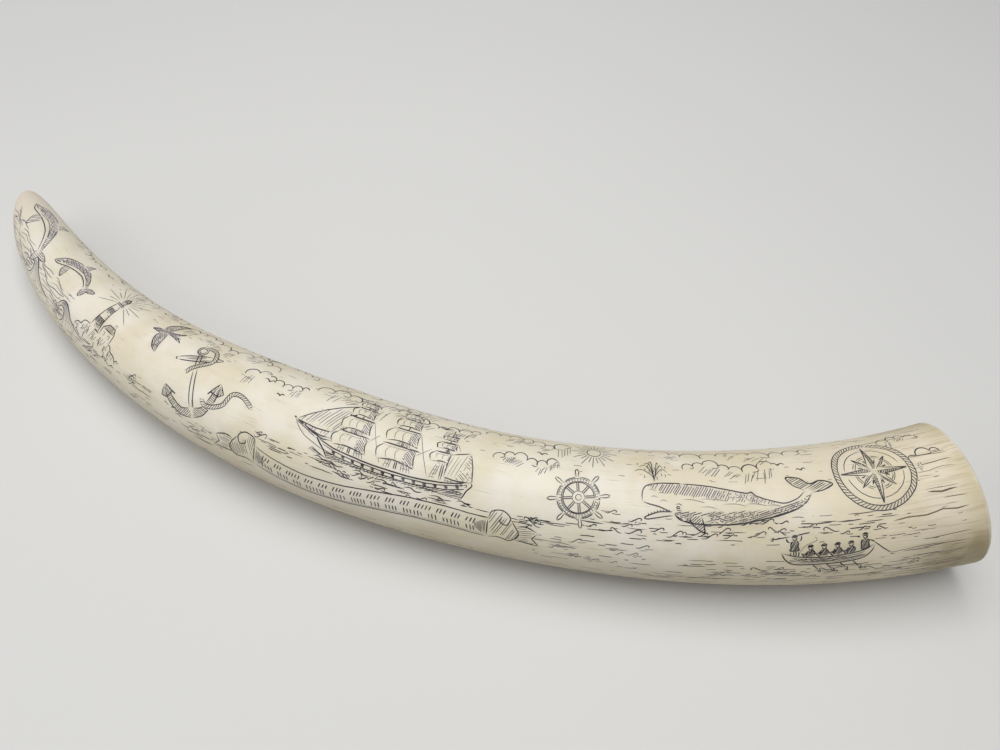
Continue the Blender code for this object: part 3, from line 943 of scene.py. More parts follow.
# Texture layout: the sawn face as a disc, and the side in two long rows
DISC_PLACE = (0.10, 0.91)
DISC_REACH = 0.085
ROW_START = (0.015, 0.005)
ROW_SIZE = (0.97, 0.395)
ROW_STEP = 0.405
ROW_SPARE_MM = 8


def thin_out(points):
    """Keeps the points that a stroke needs: those that bend it, and some on long straights."""
    keep = [0]
    start = 0
    for i in range(2, len(points)):
        chord = points[i] - points[start]
        length = max(np.hypot(*chord), 1e-9)
        between = points[start + 1:i] - points[start]
        off = np.abs(between[:, 0] * chord[1] - between[:, 1] * chord[0]).max() / length
        if off > STROKE_BEND_MM or length > STROKE_STEP_MM:
            keep.append(i - 1)
            start = i - 1
    return points[keep + [len(points) - 1]]


def ribbon(points, width):
    """A stroke's middle, its two edges and its half width at each point; it swells and has pointed ends."""
    points = thin_out(points)
    if len(points) < 4:
        length = arc_lengths(points)[-1]
        lead = min(0.25, 0.6 * width / length)
        points = along_path(points, length * np.array([0, lead, 0.5, 1 - lead, 1]))
    shares = np.linspace(0, 1, len(points))
    belly = (1 - STROKE_END_SHARE) * np.sqrt(np.sin(shares * math.pi).clip(0))
    half = 0.5 * width * (STROKE_END_SHARE + belly) * hand.uniform(0.88, 1.08)
    half[0] = half[-1] = 0
    side = normals_of(points) * half[:, None]
    return points, points + side, points - side, half


def sawn_place(angle, out):
    """The distance along, in mm, at which the leaning saw cut crosses a line beside the axis."""
    bend = 3 * math.radians(AXIS_HEADINGS[3] - AXIS_HEADINGS[2]) / LENGTH_MM
    lean = math.tan(math.radians(BUTT_LEAN))
    return LENGTH_MM - lean * out * np.sin(angle) / (1 + bend * out * np.cos(angle))


def row_angles():
    low, high, flat = -0.5 * math.pi, 1.5 * math.pi, math.radians(FLAT_HALF_ANGLE)
    body = np.linspace(low + flat, high - flat, ROWS - 2 * FLAT_ROWS + 1)
    return np.concatenate([np.linspace(low, low + flat, FLAT_ROWS + 1), body[1:-1],
                           np.linspace(high - flat, high, FLAT_ROWS + 1)])


class Marks:
    """The strokes as close samples, to say how deep in a cut any place of the plate lies."""

    def __init__(self, samples):
        self.samples = np.concatenate(samples)
        self.tree = KDTree(len(self.samples))
        for i, sample in enumerate(self.samples):
            self.tree.insert((sample[0], sample[1], 0), i)
        self.tree.balance()
        self.reach = self.samples[:, 2].max()

    def at(self, place):
        """From 0 at a cut's edge to 1 on its middle, and the sample that says so."""
        best, found = 0.0, None
        for _, index, distance in self.tree.find_range((place[0], place[1], 0), self.reach):
            within = 1 - distance / self.samples[index, 2]
            if within > best:
                best, found = within, self.samples[index]
        return best, found


def ink_haze(samples, places):
    """How much ink lies near each place, from 0 to about 1: what wiping the plate has left there."""
    low = np.array([0, across(LENGTH_MM, math.radians(ART_LOW_ANGLE)) - HAZE_MARGIN])
    cells = np.array([int(LENGTH_MM / HAZE_CELL_MM) + HAZE_MARGIN, HAZE_ROWS])
    spots = np.clip(((samples[:, :2] - low) / HAZE_CELL_MM).astype(int), 0, cells - 1)
    amount = np.zeros(cells)
    np.add.at(amount, (spots[:, 0], spots[:, 1]), 2 * samples[:, 2] * MARK_GAP_MM / HAZE_CELL_MM ** 2)
    for _ in range(HAZE_PASSES):
        for axis in (0, 1):
            amount = (np.roll(amount, 1, axis) + 2 * amount + np.roll(amount, -1, axis)) / 4
    wanted = np.clip((places - low) / HAZE_CELL_MM - 0.5, 0, cells - 2)
    whole = wanted.astype(int)
    part = wanted - whole
    i, j = whole.T
    near = amount[i, j] * (1 - part[:, 0]) + amount[i + 1, j] * part[:, 0]
    far = amount[i, j + 1] * (1 - part[:, 0]) + amount[i + 1, j + 1] * part[:, 0]
    return near * (1 - part[:, 1]) + far * part[:, 1]


def triangulate_plate():
    """The engraved sheet: places (distance, angle, height), triangles, each one's ink, and the haze."""
    angles = row_angles()
    stride = ROWS + 1
    side_ends = sawn_place(angles, radius_mm(LENGTH_MM)) - RIM_EASE / MM
    grid = []
    for share in np.linspace(0, 1, COLUMNS + 1):
        x = NOSE_LENGTH_MM + share * (side_ends - NOSE_LENGTH_MM)
        grid.append(np.stack([x, across(x, angles), angles], 1))
    grid = np.concatenate(grid)
    points = [Vector(place[:2]) for place in grid]
    edges = []
    for row in (0, FLAT_ROWS, ROWS - FLAT_ROWS, ROWS):
        edges += [(c * stride + row, (c + 1) * stride + row) for c in range(COLUMNS)]
    for column in (0, COLUMNS):
        edges += [(column * stride + r, column * stride + r + 1) for r in range(ROWS)]

    samples = []
    for path, width, ink in strokes:
        middle, left, right, half = ribbon(path, width)
        first, count = len(points), len(middle)
        points += [Vector(p) for p in middle]
        edges += [(first + i, first + i + 1) for i in range(count - 1)]
        for edge_line in (left, right):
            inner = len(points)
            points += [Vector(p) for p in edge_line[1:-1]]
            chain = [first, *range(inner, inner + count - 2), first + count - 1]
            edges += list(zip(chain[:-1], chain[1:]))
        lengths = arc_lengths(middle)
        spots = np.linspace(0, lengths[-1], max(3, int(lengths[-1] / MARK_GAP_MM)))
        samples.append(np.column_stack([along_path(middle, spots), np.interp(spots, lengths, half).clip(0.02),
                                        np.full(len(spots), ink)]))
    marks = Marks(samples)

    found, _, faces, sources, _, _ = delaunay_2d_cdt(points, edges, [], 1, SAME_PLACE_MM, True)
    flat = np.array([(p.x, p.y) for p in found])
    angle = angle_at(flat[:, 0], flat[:, 1])
    twin = np.arange(len(flat))
    corner = {}
    for i, origin in enumerate(sources):
        for source in origin:
            if source < len(grid):
                angle[i] = grid[source, 2]
                corner[source] = i
    for column in range(COLUMNS + 1):
        twin[corner[column * stride + ROWS]] = corner[column * stride]
    height = np.zeros(len(flat))
    for i, place in enumerate(flat):
        within = marks.at(place)[0]
        if within > CUT_FROM:
            height[i] = -CUT_DEPTH_MM * min(1.0, within * CUT_STEEPNESS)
    borders = [{corner[c * stride + row] for c in range(COLUMNS + 1)} for row in (0, ROWS)]
    borders.append({corner[COLUMNS * stride + row] for row in range(ROWS + 1)})
    triangles, inks = [], []
    for face in faces:
        for k in range(1, len(face) - 1):
            triangle = [face[0], face[k], face[k + 1]]
            if any(border.issuperset(triangle) for border in borders):
                continue
            within, sample = marks.at(flat[triangle].mean(0))
            triangles.append(twin[triangle])
            inks.append(int(sample[3]) if within > INK_FROM else -1)
    haze = ink_haze(marks.samples, flat)
    places = np.column_stack([flat[:, 0], angle, height])
    first_ring = [corner[row] for row in range(ROWS)]
    last_ring = [corner[COLUMNS * stride + row] for row in range(ROWS)]
    return places, np.array(triangles), np.array(inks), haze, first_ring, last_ring


def ring_bands(first, second):
    """Quads between two rings of the same count, facing out when the second lies further from the tip."""
    return [(first[j], second[j], second[(j + 1) % ROWS], first[(j + 1) % ROWS]) for j in range(ROWS)]


def close_ends(places, first_ring, last_ring):
    """Adds the rounded nose, the eased rim and the sawn face; says which vertices and faces are sawn."""
    angles = row_angles()[:ROWS]
    places = list(places)
    faces = []
    rim_turn = {}

    def add_ring(x, height):
        start = len(places)
        places.extend(np.column_stack([np.broadcast_to(x, ROWS), angles, np.broadcast_to(height, ROWS)]))
        return list(range(start, start + ROWS))

    pole = len(places)
    places.append(np.array([0, 0, 0]))
    nose = [add_ring(NOSE_LENGTH_MM * (step / NOSE_RINGS) ** 2, 0) for step in range(1, NOSE_RINGS)]
    faces += [(pole, nose[0][j], nose[0][(j + 1) % ROWS]) for j in range(ROWS)]
    for ring, following in zip(nose, [*nose[1:], first_ring]):
        faces += ring_bands(ring, following)

    ease = RIM_EASE / MM
    full = radius_mm(LENGTH_MM)
    ring = last_ring
    rim_turn.update((vertex, 0.0) for vertex in ring)
    for step in range(1, RIM_RINGS + 1):
        turn = 0.5 * math.pi * step / RIM_RINGS
        inward = ease * (1 - math.cos(turn))
        x = sawn_place(angles, full - inward) - ease * (1 - math.sin(turn))
        following = add_ring(x, full - inward - radius_mm(x))
        faces += ring_bands(ring, following)
        rim_turn.update((vertex, turn) for vertex in following)
        ring = following
    sawn_from = len(faces)
    for out in np.linspace(full - ease, 0, FACE_RINGS + 1)[1:-1]:
        x = sawn_place(angles, out)
        following = add_ring(x, out - radius_mm(x))
        faces += ring_bands(ring, following)
        rim_turn.update((vertex, 0.5 * math.pi) for vertex in following)
        ring = following
    centre = len(places)
    places.append(np.array([LENGTH_MM, 0, -full]))
    rim_turn[centre] = 0.5 * math.pi
    faces += [(ring[j], centre, ring[(j + 1) % ROWS]) for j in range(ROWS)]
    return np.array(places), faces, sawn_from, rim_turn


def ink_body(places, triangles):
    """The ink as closed slivers: a sunken top, a base just above the cut's bottom, joined at their edges."""
    directed = set()
    for a, b, c in triangles:
        directed.update(((a, b), (b, c), (c, a)))
    rim = {vertex for a, b in directed if (b, a) not in directed for vertex in (a, b)}
    triangles = [triangle for triangle in triangles if not all(vertex in rim for vertex in triangle)]
    directed = {(t[k], t[(k + 1) % 3]) for t in triangles for k in range(3)}
    places = list(places)
    halfway = {}
    kept = []
    for triangle in triangles:
        a, b, c = triangle
        while a not in rim or b not in rim:
            a, b, c = b, c, a
            if (a, b, c) == triangle:
                break
        if a in rim and b in rim and (b, a) in directed:
            pair = (min(a, b), max(a, b))
            if pair not in halfway:
                halfway[pair] = len(places)
                places.append((places[a] + places[b]) / 2 * (1, 1, 0) - (0, 0, INK_BRIDGE_MM))
            kept += [(a, halfway[pair], c), (halfway[pair], b, c)]
        else:
            kept.append(triangle)
    places = np.array(places)
    used = sorted({vertex for triangle in kept for vertex in triangle})
    top = {vertex: i for i, vertex in enumerate(used)}
    body = places[used].copy()
    body[:, 2] = body[:, 2] * INK_TOP - INK_EDGE_MM
    inner = [vertex for vertex in used if vertex not in rim]
    base = dict(top)
    base.update((vertex, len(used) + i) for i, vertex in enumerate(inner))
    under = places[inner].copy()
    under[:, 2] *= INK_BASE
    under[:, 2] -= INK_EDGE_MM
    faces = [tuple(top[vertex] for vertex in triangle) for triangle in kept]
    faces += [tuple(base[vertex] for vertex in reversed(triangle)) for triangle in kept]
    return np.concatenate([body, under]), faces


# Wrapping: the centreline, the tree that bends the plate round it, and the surface's own normals
CENTRELINE_STEPS = 1400
crowded_shares = SHARE_END * np.linspace(0, 1, CENTRELINE_STEPS + 1) ** 2
crowded_radii = np.array([radius(share) for share in crowded_shares])
crowded_heights = np.array([axis_height(share) for share in crowded_shares])


def set_inputs(tree, node, inputs):
    """Gives a node's inputs plain values, or wires them to sockets."""
    for name, value in inputs.items():
        if isinstance(value, bpy.types.NodeSocket):
            tree.links.new(value, node.inputs[name])
        else:
            node.inputs[name].default_value = value


def add_node(tree, kind, settings=None, inputs=None):
    made = tree.nodes.new(kind)
    for name, value in (settings or {}).items():
        setattr(made, name, value)
    set_inputs(tree, made, inputs or {})
    return made


def maths(tree, operation, *values):
    return add_node(tree, "ShaderNodeMath", {"operation": operation}, dict(enumerate(values))).outputs[0]


def vectors(tree, operation, *values, **named):
    inputs = {**dict(enumerate(values)), **named}
    return add_node(tree, "ShaderNodeVectorMath", {"operation": operation}, inputs).outputs[0]


def split(tree, vector):
    return add_node(tree, "ShaderNodeSeparateXYZ", None, {0: vector}).outputs


def make_centreline():
    """The centreline in plan, as a chain of edges that carries the radius and the height at each place."""
    mesh = bpy.data.meshes.new("centreline")
    position = np.zeros(2)
    places = [(0, 0, 0)]
    for share, following in zip(crowded_shares[:-1], crowded_shares[1:]):
        angle = heading((share + following) / 2)
        position = position + AXIS_LENGTH * (following - share) * np.array([math.cos(angle), math.sin(angle)])
        places.append((*position, 0))
    mesh.from_pydata(places, [(i, i + 1) for i in range(CENTRELINE_STEPS)], [])
    section = mesh.attributes.new("section", "FLOAT_VECTOR", "POINT")
    values = np.column_stack([crowded_radii, crowded_heights, np.zeros(CENTRELINE_STEPS + 1)])
    section.data.foreach_set("vector", values.ravel())
    centreline = bpy.data.objects.new("centreline", mesh)
    bpy.context.scene.collection.objects.link(centreline)
    return centreline


def make_wrap_tree():
    """Bends a flat sheet (x distance along, y angle round, z height off the surface) round a centreline."""
    tree = bpy.data.node_groups.new("wrap_on_tusk", "GeometryNodeTree")
    tree.is_modifier = True
    for name, kind in (("Sheet", "Geometry"), ("Centreline", "Object"), ("Table Height", "Float"),
                       ("Finish", "Material"), ("Sawn Finish", "Material")):
        tree.interface.new_socket(name, in_out="INPUT", socket_type="NodeSocket" + kind)
    tree.interface.new_socket("Wrapped", in_out="OUTPUT", socket_type="NodeSocketGeometry")
    given = add_node(tree, "NodeGroupInput").outputs
    line = add_node(tree, "GeometryNodeObjectInfo", None, {"Object": given["Centreline"]})
    line = add_node(tree, "GeometryNodeMeshToCurve", None, {"Mesh": line.outputs["Geometry"]})
    section = add_node(tree, "GeometryNodeInputNamedAttribute", {"data_type": "FLOAT_VECTOR"},
                       {"Name": "section"})
    flat = split(tree, add_node(tree, "GeometryNodeInputPosition").outputs[0])
    there = add_node(tree, "GeometryNodeSampleCurve", {"mode": "LENGTH", "data_type": "FLOAT_VECTOR"},
                     {"Curves": line.outputs["Curve"], "Length": flat["X"],
                      "Value": section.outputs["Attribute"]}).outputs
    size = split(tree, there["Value"])
    outward = vectors(tree, "NORMALIZE", vectors(tree, "CROSS_PRODUCT", there["Tangent"], (0, 0, 1)))
    reach = maths(tree, "ADD", size["X"], flat["Z"])
    aside = maths(tree, "MULTIPLY", reach, maths(tree, "COSINE", flat["Y"]))
    lifted = maths(tree, "MULTIPLY_ADD", reach, maths(tree, "SINE", flat["Y"]), size["Y"])
    resting = maths(tree, "MAXIMUM", lifted, given["Table Height"])
    in_plan = vectors(tree, "ADD", there["Position"], vectors(tree, "SCALE", outward, Scale=aside))
    rise = add_node(tree, "ShaderNodeCombineXYZ", None, {"Z": resting}).outputs[0]
    bent = add_node(tree, "GeometryNodeSetPosition", None,
                    {"Geometry": given["Sheet"], "Position": vectors(tree, "ADD", in_plan, rise)})
    real = add_node(tree, "GeometryNodeRealizeInstances", None, {"Geometry": bent.outputs[0]})
    sawn = add_node(tree, "GeometryNodeInputNamedAttribute", {"data_type": "BOOLEAN"}, {"Name": "sawn"})
    finished = add_node(tree, "GeometryNodeSetMaterial", None,
                        {"Geometry": real.outputs[0], "Material": given["Finish"]})
    finished = add_node(tree, "GeometryNodeSetMaterial", None,
                        {"Geometry": finished.outputs[0], "Selection": sawn.outputs["Attribute"],
                         "Material": given["Sawn Finish"]})
    add_node(tree, "NodeGroupOutput", None, {0: finished.outputs[0]})
    return tree


def surface_normals(places):
    """Outward normals of the smooth tusk at each place of the plate, cuts left out of account."""
    along = crowded_shares * AXIS_LENGTH
    swell = np.gradient(crowded_radii, along)
    climb = np.gradient(crowded_heights, along)
    turns = np.array([heading(share) for share in crowded_shares])
    bend = np.gradient(turns, along)
    swell, climb, turn, bend, out = (np.interp(places[:, 0] * MM, along, row)
                                     for row in (swell, climb, turns, bend, crowded_radii))
    cosine, sine = np.cos(places[:, 1]), np.sin(places[:, 1])
    back = (swell + climb * sine) / (1 + bend * out * cosine)
    back = np.where(places[:, 0] <= 0, 1e6, back)
    tangent = np.column_stack([np.cos(turn), np.sin(turn), np.zeros(len(turn))])
    outward = np.column_stack([np.sin(turn), -np.cos(turn), np.zeros(len(turn))])
    normals = cosine[:, None] * outward + sine[:, None] * (0, 0, 1) - back[:, None] * tangent
    return normals / np.linalg.norm(normals, axis=1)[:, None]


def bake_layout(places, face, sawn):
    """Texture places of one face's corners: the side in two long rows, the sawn face as a disc."""
    x, angle = places[face, 0], places[face, 1].copy()
    if sawn:
        out = (radius_mm(x) + places[face, 2]) / BUTT_RADIUS * MM
        return oval(*DISC_PLACE, DISC_REACH * out, DISC_REACH * out, angle)
    if angle.max() - angle.min() > math.pi:
        angle[angle < 0] += 2 * math.pi
    row = 0 if x.mean() < LENGTH_MM / 2 else 1
    u = ROW_START[0] + ROW_SIZE[0] * (x - row * LENGTH_MM / 2) / (LENGTH_MM / 2 + ROW_SPARE_MM)
    v = ROW_START[1] + ROW_STEP * row + ROW_SIZE[1] * (angle + 0.5 * math.pi) / (2 * math.pi)
    return np.column_stack([u, v])


def wrap_piece(name, places, faces, tree, centreline, finish, sawn_finish=None, sawn=None, marks=None):
    """Makes one piece of the plate as a plain mesh: bent round the tusk, with its finish and its maps."""
    mesh = bpy.data.meshes.new(name + "_sheet")
    sheet = places * (MM, 1, MM)
    mesh.from_pydata(sheet.tolist(), [], [tuple(int(v) for v in face) for face in faces])
    sawn = np.zeros(len(faces), bool) if sawn is None else sawn
    out = np.array([radius(x * MM / AXIS_LENGTH) for x in places[:, 0]]) + places[:, 2] * MM
    straight = np.column_stack([places[:, 0] * MM, oval(0, 0, out, out, places[:, 1])])
    mesh.attributes.new("straightened", "FLOAT_VECTOR", "POINT").data.foreach_set("vector", straight.ravel())
    for mark, values in (marks or {}).items():
        mesh.attributes.new(mark, "FLOAT", "POINT").data.foreach_set("value", values)
    mesh.attributes.new("sawn", "BOOLEAN", "FACE").data.foreach_set("value", sawn)
    layout = np.concatenate([bake_layout(places, list(face), is_sawn) for face, is_sawn in zip(faces, sawn)])
    mesh.uv_layers.new(name="OFBake").data.foreach_set("uv", layout.ravel())
    piece = bpy.data.objects.new(name, mesh)
    bpy.context.scene.collection.objects.link(piece)
    wrapping = piece.modifiers.new("wrap_on_tusk", "NODES")
    wrapping.node_group = tree
    sockets = {item.name: item.identifier for item in tree.interface.items_tree if item.in_out == "INPUT"}
    for socket_name, value in (("Centreline", centreline), ("Table Height", 0.0), ("Finish", finish),
                               ("Sawn Finish", sawn_finish or finish)):
        wrapping[sockets[socket_name]] = value
    depsgraph = bpy.context.evaluated_depsgraph_get()
    bent = bpy.data.meshes.new_from_object(piece.evaluated_get(depsgraph), preserve_all_data_layers=True,
                                           depsgraph=depsgraph)
    piece.modifiers.remove(wrapping)
    piece.data = bent
    bent.name = name
    bpy.data.meshes.remove(mesh)
    bent.shade_smooth()
    return piece


def vertex_places(mesh):
    places = np.empty(len(mesh.vertices) * 3)
    mesh.vertices.foreach_get("co", places)
    return places.reshape(-1, 3)


def settle(piece, shift, normals):
    """Moves a piece's mesh into the part's frame, and gives it the smooth surface's normals."""
    places = vertex_places(piece.data) + shift
    piece.data.vertices.foreach_set("co", places.ravel())
    piece.data.update()
    resting = places[:, 2] < 1e-6
    normals = np.where(resting[:, None], (0, 0, -1.0), normals)
    piece.data.normals_split_custom_set_from_vertices(normals.tolist())


# Finishes: the inks in the order of their numbers, each with its fresh and its worn colour
INK_COLOURS = {"charcoal_lines": ((0.016, 0.016, 0.020), (0.105, 0.10, 0.11)),
               "grey_lines": ((0.10, 0.097, 0.105), (0.24, 0.22, 0.21)),
               "violet_lines": ((0.05, 0.038, 0.105), (0.15, 0.12, 0.21)),
               "umber_lines": ((0.13, 0.085, 0.045), (0.30, 0.22, 0.13))}


def stretched(tree, place, along, across_size):
    """The place in units of a size along the tusk and another across it."""
    per_along, per_across = (maths(tree, "DIVIDE", 1.0, size) for size in (along, across_size))
    scale = add_node(tree, "ShaderNodeCombineXYZ", None, {"X": per_along, "Y": per_across, "Z": per_across})
    return vectors(tree, "MULTIPLY", place, scale.outputs[0])


def ramp(tree, value, low, high, top=1.0):
    """Rises smoothly from 0 to top as the value goes from low to high."""
    made = add_node(tree, "ShaderNodeMapRange", {"interpolation_type": "SMOOTHSTEP"},
                    {"Value": value, "From Min": low, "From Max": high, "To Min": 0.0, "To Max": top})
    return made.outputs["Result"]


def make_effect(name, sizes, detail, roughness, distortion, seed=None):
    """A shader group: noise of a size along and one across; Low and High set how much of it shows."""
    group = bpy.data.node_groups.new(name, "ShaderNodeTree")
    group.interface.new_socket("Place", in_out="INPUT", socket_type="NodeSocketVector")
    for socket_name in (*sizes, "Low", "High", "Strength", *([seed] if seed else [])):
        group.interface.new_socket(socket_name, in_out="INPUT", socket_type="NodeSocketFloat")
    group.interface.new_socket("Amount", in_out="OUTPUT", socket_type="NodeSocketFloat")
    given = add_node(group, "NodeGroupInput").outputs
    place = stretched(group, given["Place"], given[sizes[0]], given[sizes[-1]])
    look = {"Vector": place, "Scale": 1.0, "Detail": detail, "Roughness": roughness, "Distortion": distortion}
    if seed:
        noise = add_node(group, "ShaderNodeTexNoise", {"noise_dimensions": "4D"}, {"W": given[seed], **look})
    else:
        noise = add_node(group, "ShaderNodeTexNoise", None, look)
    amount = ramp(group, noise.outputs[0], given["Low"], given["High"], given["Strength"])
    add_node(group, "NodeGroupOutput", None, {0: amount})
    return group


def make_effects():
    """Streaks that lie along the tusk, and soft cloudy patches of one size all ways."""
    return (make_effect("long_grain", ("Length", "Width"), 3.0, 0.55, 0.0),
            make_effect("mottle", ("Size",), 4.0, 0.5, 0.3, "Seed"))


class Finish:
    """A material in the making; its effects are laid out by the tusk's straightened place."""

    def __init__(self, name, colour, effects=None):
        self.material = bpy.data.materials.new(name)
        self.material.use_nodes = True
        self.tree = self.material.node_tree
        self.shader = self.tree.nodes["Principled BSDF"]
        self.colour = (*colour, 1.0)
        if effects:
            self.grain, self.mottle = effects
            self.place = self.mark("straightened", "Vector")

    def mark(self, name, output="Fac"):
        """What the mesh carries under a name."""
        return add_node(self.tree, "ShaderNodeAttribute", {"attribute_name": name}).outputs[output]

    def streaks(self, length, width, low, high, strength=1.0):
        inputs = {"Length": length, "Width": width, "Low": low, "High": high, "Strength": strength}
        return self.effect(self.grain, inputs)

    def patches(self, size, low, high, strength=1.0, seed=0.0):
        inputs = {"Size": size, "Low": low, "High": high, "Strength": strength, "Seed": seed}
        return self.effect(self.mottle, inputs)

    def effect(self, group, inputs):
        inputs = {"Place": self.place, **inputs}
        return add_node(self.tree, "ShaderNodeGroup", {"node_tree": group}, inputs).outputs[0]

    def ramp(self, value, low, high, top=1.0):
        return ramp(self.tree, value, low, high, top)

    def times(self, first, second):
        return maths(self.tree, "MULTIPLY", first, second)

    def plus(self, first, *parts):
        """The first value and the rest, each part by its own amount."""
        for amount, part in parts:
            first = maths(self.tree, "ADD", first, self.times(amount, part))
        return first

    def lay(self, *layers):
        """Lays colours over the finish, each by an amount that changes over the surface."""
        for colour, amount in layers:
            mixed = add_node(self.tree, "ShaderNodeMix", {"data_type": "RGBA"},
                             {"Factor": amount, 6: self.colour, 7: (*colour, 1.0)})
            self.colour = mixed.outputs[2]

    def bump(self, strength, distance, height, **normal):
        inputs = {"Strength": strength, "Distance": distance, "Height": height, **normal}
        return add_node(self.tree, "ShaderNodeBump", None, inputs).outputs[0]

    def done(self, **inputs):
        """Gives the shader its colour and its other inputs."""
        named = {name.replace("_", " "): value for name, value in inputs.items()}
        set_inputs(self.tree, self.shader, {"Base Color": self.colour, **named})
        return self.material


def make_ivory(effects):
    """Old-ivory resin: cream, warmer in patches, streaked along its length, stained at the sawn end; with
    painted shade on the underside and on the inner side of the curve, and a painted highlight along the rim.
    """
    look = Finish("ivory_resin_aged", (0.82, 0.775, 0.645), effects)
    along, level, upright = split(look.tree, look.place)
    haze, to_rim = look.mark("ink_haze"), look.mark("to_rim")
    warm = look.patches(0.045, 0.36, 0.66)
    fine = look.times(look.streaks(0.016, 0.00042, 0.60, 0.74, 0.6), look.patches(0.022, 0.45, 0.62))
    near_end = look.times(look.ramp(to_rim, 0.06, 0.004, 0.36), look.streaks(0.03, 0.0009, 0.48, 0.66))
    rim_cloud = look.patches(0.012, 0.34, 0.58, seed=3.0)
    rim_band = look.times(look.ramp(to_rim, 0.011, 0.001, 0.42), rim_cloud)
    stain = look.times(look.ramp(to_rim, 0.036, 0.010), look.ramp(upright, 0.023, 0.009))
    stain = look.times(stain, look.plus(0.45, (1.0, look.patches(0.010, 0.30, 0.60, 0.35, 6.0))))
    wiped = look.times(look.ramp(haze, 0.04, 0.9, 0.42), look.patches(0.006, 0.25, 0.7))
    # Painted highlight: a pale line along the eased rim, broken up by the rim's cloudy patches.
    rim_glint_paint = look.times(look.ramp(to_rim, 0.0015, 0.0008), look.plus(0.85, (-0.55, rim_cloud)))
    look.lay(((0.77, 0.70, 0.545), warm),
             ((0.66, 0.575, 0.42), look.streaks(0.06, 0.0026, 0.42, 0.70, 0.27)),
             ((0.86, 0.815, 0.735), look.patches(0.017, 0.40, 0.68, 0.75, 2.0)),
             ((0.72, 0.645, 0.44), look.patches(0.026, 0.46, 0.70, 0.65, 5.0)),
             # Painted shade: darker and warmer over the inner side of the curve, along the tusk's far edge.
             ((0.72, 0.64, 0.45), look.ramp(level, -0.006, -0.024, 0.55)),
             # Painted shade: darker and yellower towards the underside, where the overhead light does not
             # reach.
             ((0.45, 0.375, 0.245), look.ramp(upright, 0.015, -0.008, 0.68)),
             ((0.80, 0.71, 0.61), look.ramp(along, 0.055, 0.0, 0.6)),
             ((0.78, 0.67, 0.48), look.ramp(along, 0.36, 0.49, 0.55)),
             ((0.30, 0.22, 0.13), fine),
             ((0.42, 0.32, 0.20), near_end),
             ((0.50, 0.43, 0.215), rim_band),
             ((0.27, 0.205, 0.075), stain),
             ((0.30, 0.27, 0.235), wiped),
             ((0.24, 0.18, 0.11), look.patches(0.0011, 0.70, 0.76, 0.7, 8.0)),
             ((0.87, 0.825, 0.71), rim_glint_paint))
    smudges = look.patches(0.009, 0.3, 0.72)
    broad = look.bump(0.5, 0.0011, look.patches(0.03, 0.2, 0.8))
    scratches = look.streaks(0.012, 0.0003, 0.3, 0.7)
    return look.done(Roughness=look.plus(0.42, (0.10, warm), (0.12, smudges), (0.15, fine)),
                     Specular_IOR_Level=0.34, Coat_Weight=0.06, Coat_Roughness=0.22,
                     Subsurface_Weight=0.12, Subsurface_Radius=(1.0, 0.7, 0.4), Subsurface_Scale=0.003,
                     Normal=look.bump(0.16, 0.00003, scratches, Normal=broad))


def make_sawn_ivory(effects):
    """The sawn butt: faint rings round the middle, the saw's straight marks and a dull finish."""
    look = Finish("ivory_resin_sawn", (0.79, 0.715, 0.55), effects)
    _, level, upright = split(look.tree, look.place)
    disc = add_node(look.tree, "ShaderNodeCombineXYZ", None, {"X": level, "Y": upright}).outputs[0]
    rings = add_node(look.tree, "ShaderNodeTexWave", {"wave_type": "RINGS", "rings_direction": "Z"},
                     {"Vector": disc, "Scale": 170.0, "Distortion": 4.0, "Detail": 4.0, "Detail Scale": 1.8})
    out = add_node(look.tree, "ShaderNodeVectorMath", {"operation": "LENGTH"}, {0: disc}).outputs["Value"]
    patches = look.patches(0.012, 0.35, 0.65)
    look.lay(((0.70, 0.60, 0.41), patches),
             ((0.50, 0.38, 0.21), look.times(rings.outputs["Fac"], look.patches(0.009, 0.3, 0.7, 0.2, 4.0))),
             ((0.42, 0.33, 0.19), look.patches(0.004, 0.5, 0.72, 0.4, 1.0)),
             ((0.30, 0.21, 0.11), look.ramp(out, 0.0022, 0.0006, 0.6)),
             ((0.40, 0.31, 0.17), look.times(patches, look.ramp(out, 0.018, 0.028, 0.5))))
    saw_place = vectors(look.tree, "MULTIPLY", disc, (60, 1500, 1))
    saw = add_node(look.tree, "ShaderNodeTexNoise", None, {"Vector": saw_place, "Scale": 1.0, "Detail": 2.0})
    return look.done(Roughness=look.plus(0.42, (0.25, saw.outputs[0])),
                     Normal=look.bump(0.6, 0.00012, saw.outputs[0]))


def make_ink(name, colour, worn_colour, effects):
    """Ink rubbed into the cuts, thinner and paler in places."""
    look = Finish(name, colour, effects)
    worn = look.patches(0.007, 0.42, 0.72, 0.75)
    look.lay((worn_colour, worn))
    return look.done(Roughness=look.plus(0.42, (0.2, worn)))


def make_floor_finish():
    look = Finish("pale_table", (0.74, 0.74, 0.73))
    place = add_node(look.tree, "ShaderNodeTexCoord").outputs["Object"]
    noise = add_node(look.tree, "ShaderNodeTexNoise", None, {"Vector": place, "Scale": 2.5, "Detail": 3.0})
    look.lay(((0.70, 0.70, 0.69), noise.outputs[0]))
    return look.done(Roughness=0.7)


# Stage, camera and light
CAMERA_PLACE = (0.12183, -0.17780, 0.33642)
CAMERA_AIM = (0.02994, 0.03892, 0.0)
CAMERA_LENS_MM = 31.32
FLOOR_HALF = 4.0
FLOOR_GAP = 0.0002
ROOM_COLOUR = (0.92, 0.95, 1.0, 1.0)
ROOM_STRENGTH = 0.21


def aim_at(thing, target):
    thing.rotation_euler = (Vector(target) - thing.location).to_track_quat("-Z", "Y").to_euler()


def make_floor():
    mesh = bpy.data.meshes.new("table_top")
    corners = [(x * FLOOR_HALF, y * FLOOR_HALF, -FLOOR_GAP) for x, y in ((-1, -1), (1, -1), (1, 1), (-1, 1))]
    mesh.from_pydata(corners, [], [(0, 1, 2, 3)])
    floor = bpy.data.objects.new("table_top", mesh)
    bpy.context.scene.collection.objects.link(floor)
    mesh.materials.append(make_floor_finish())


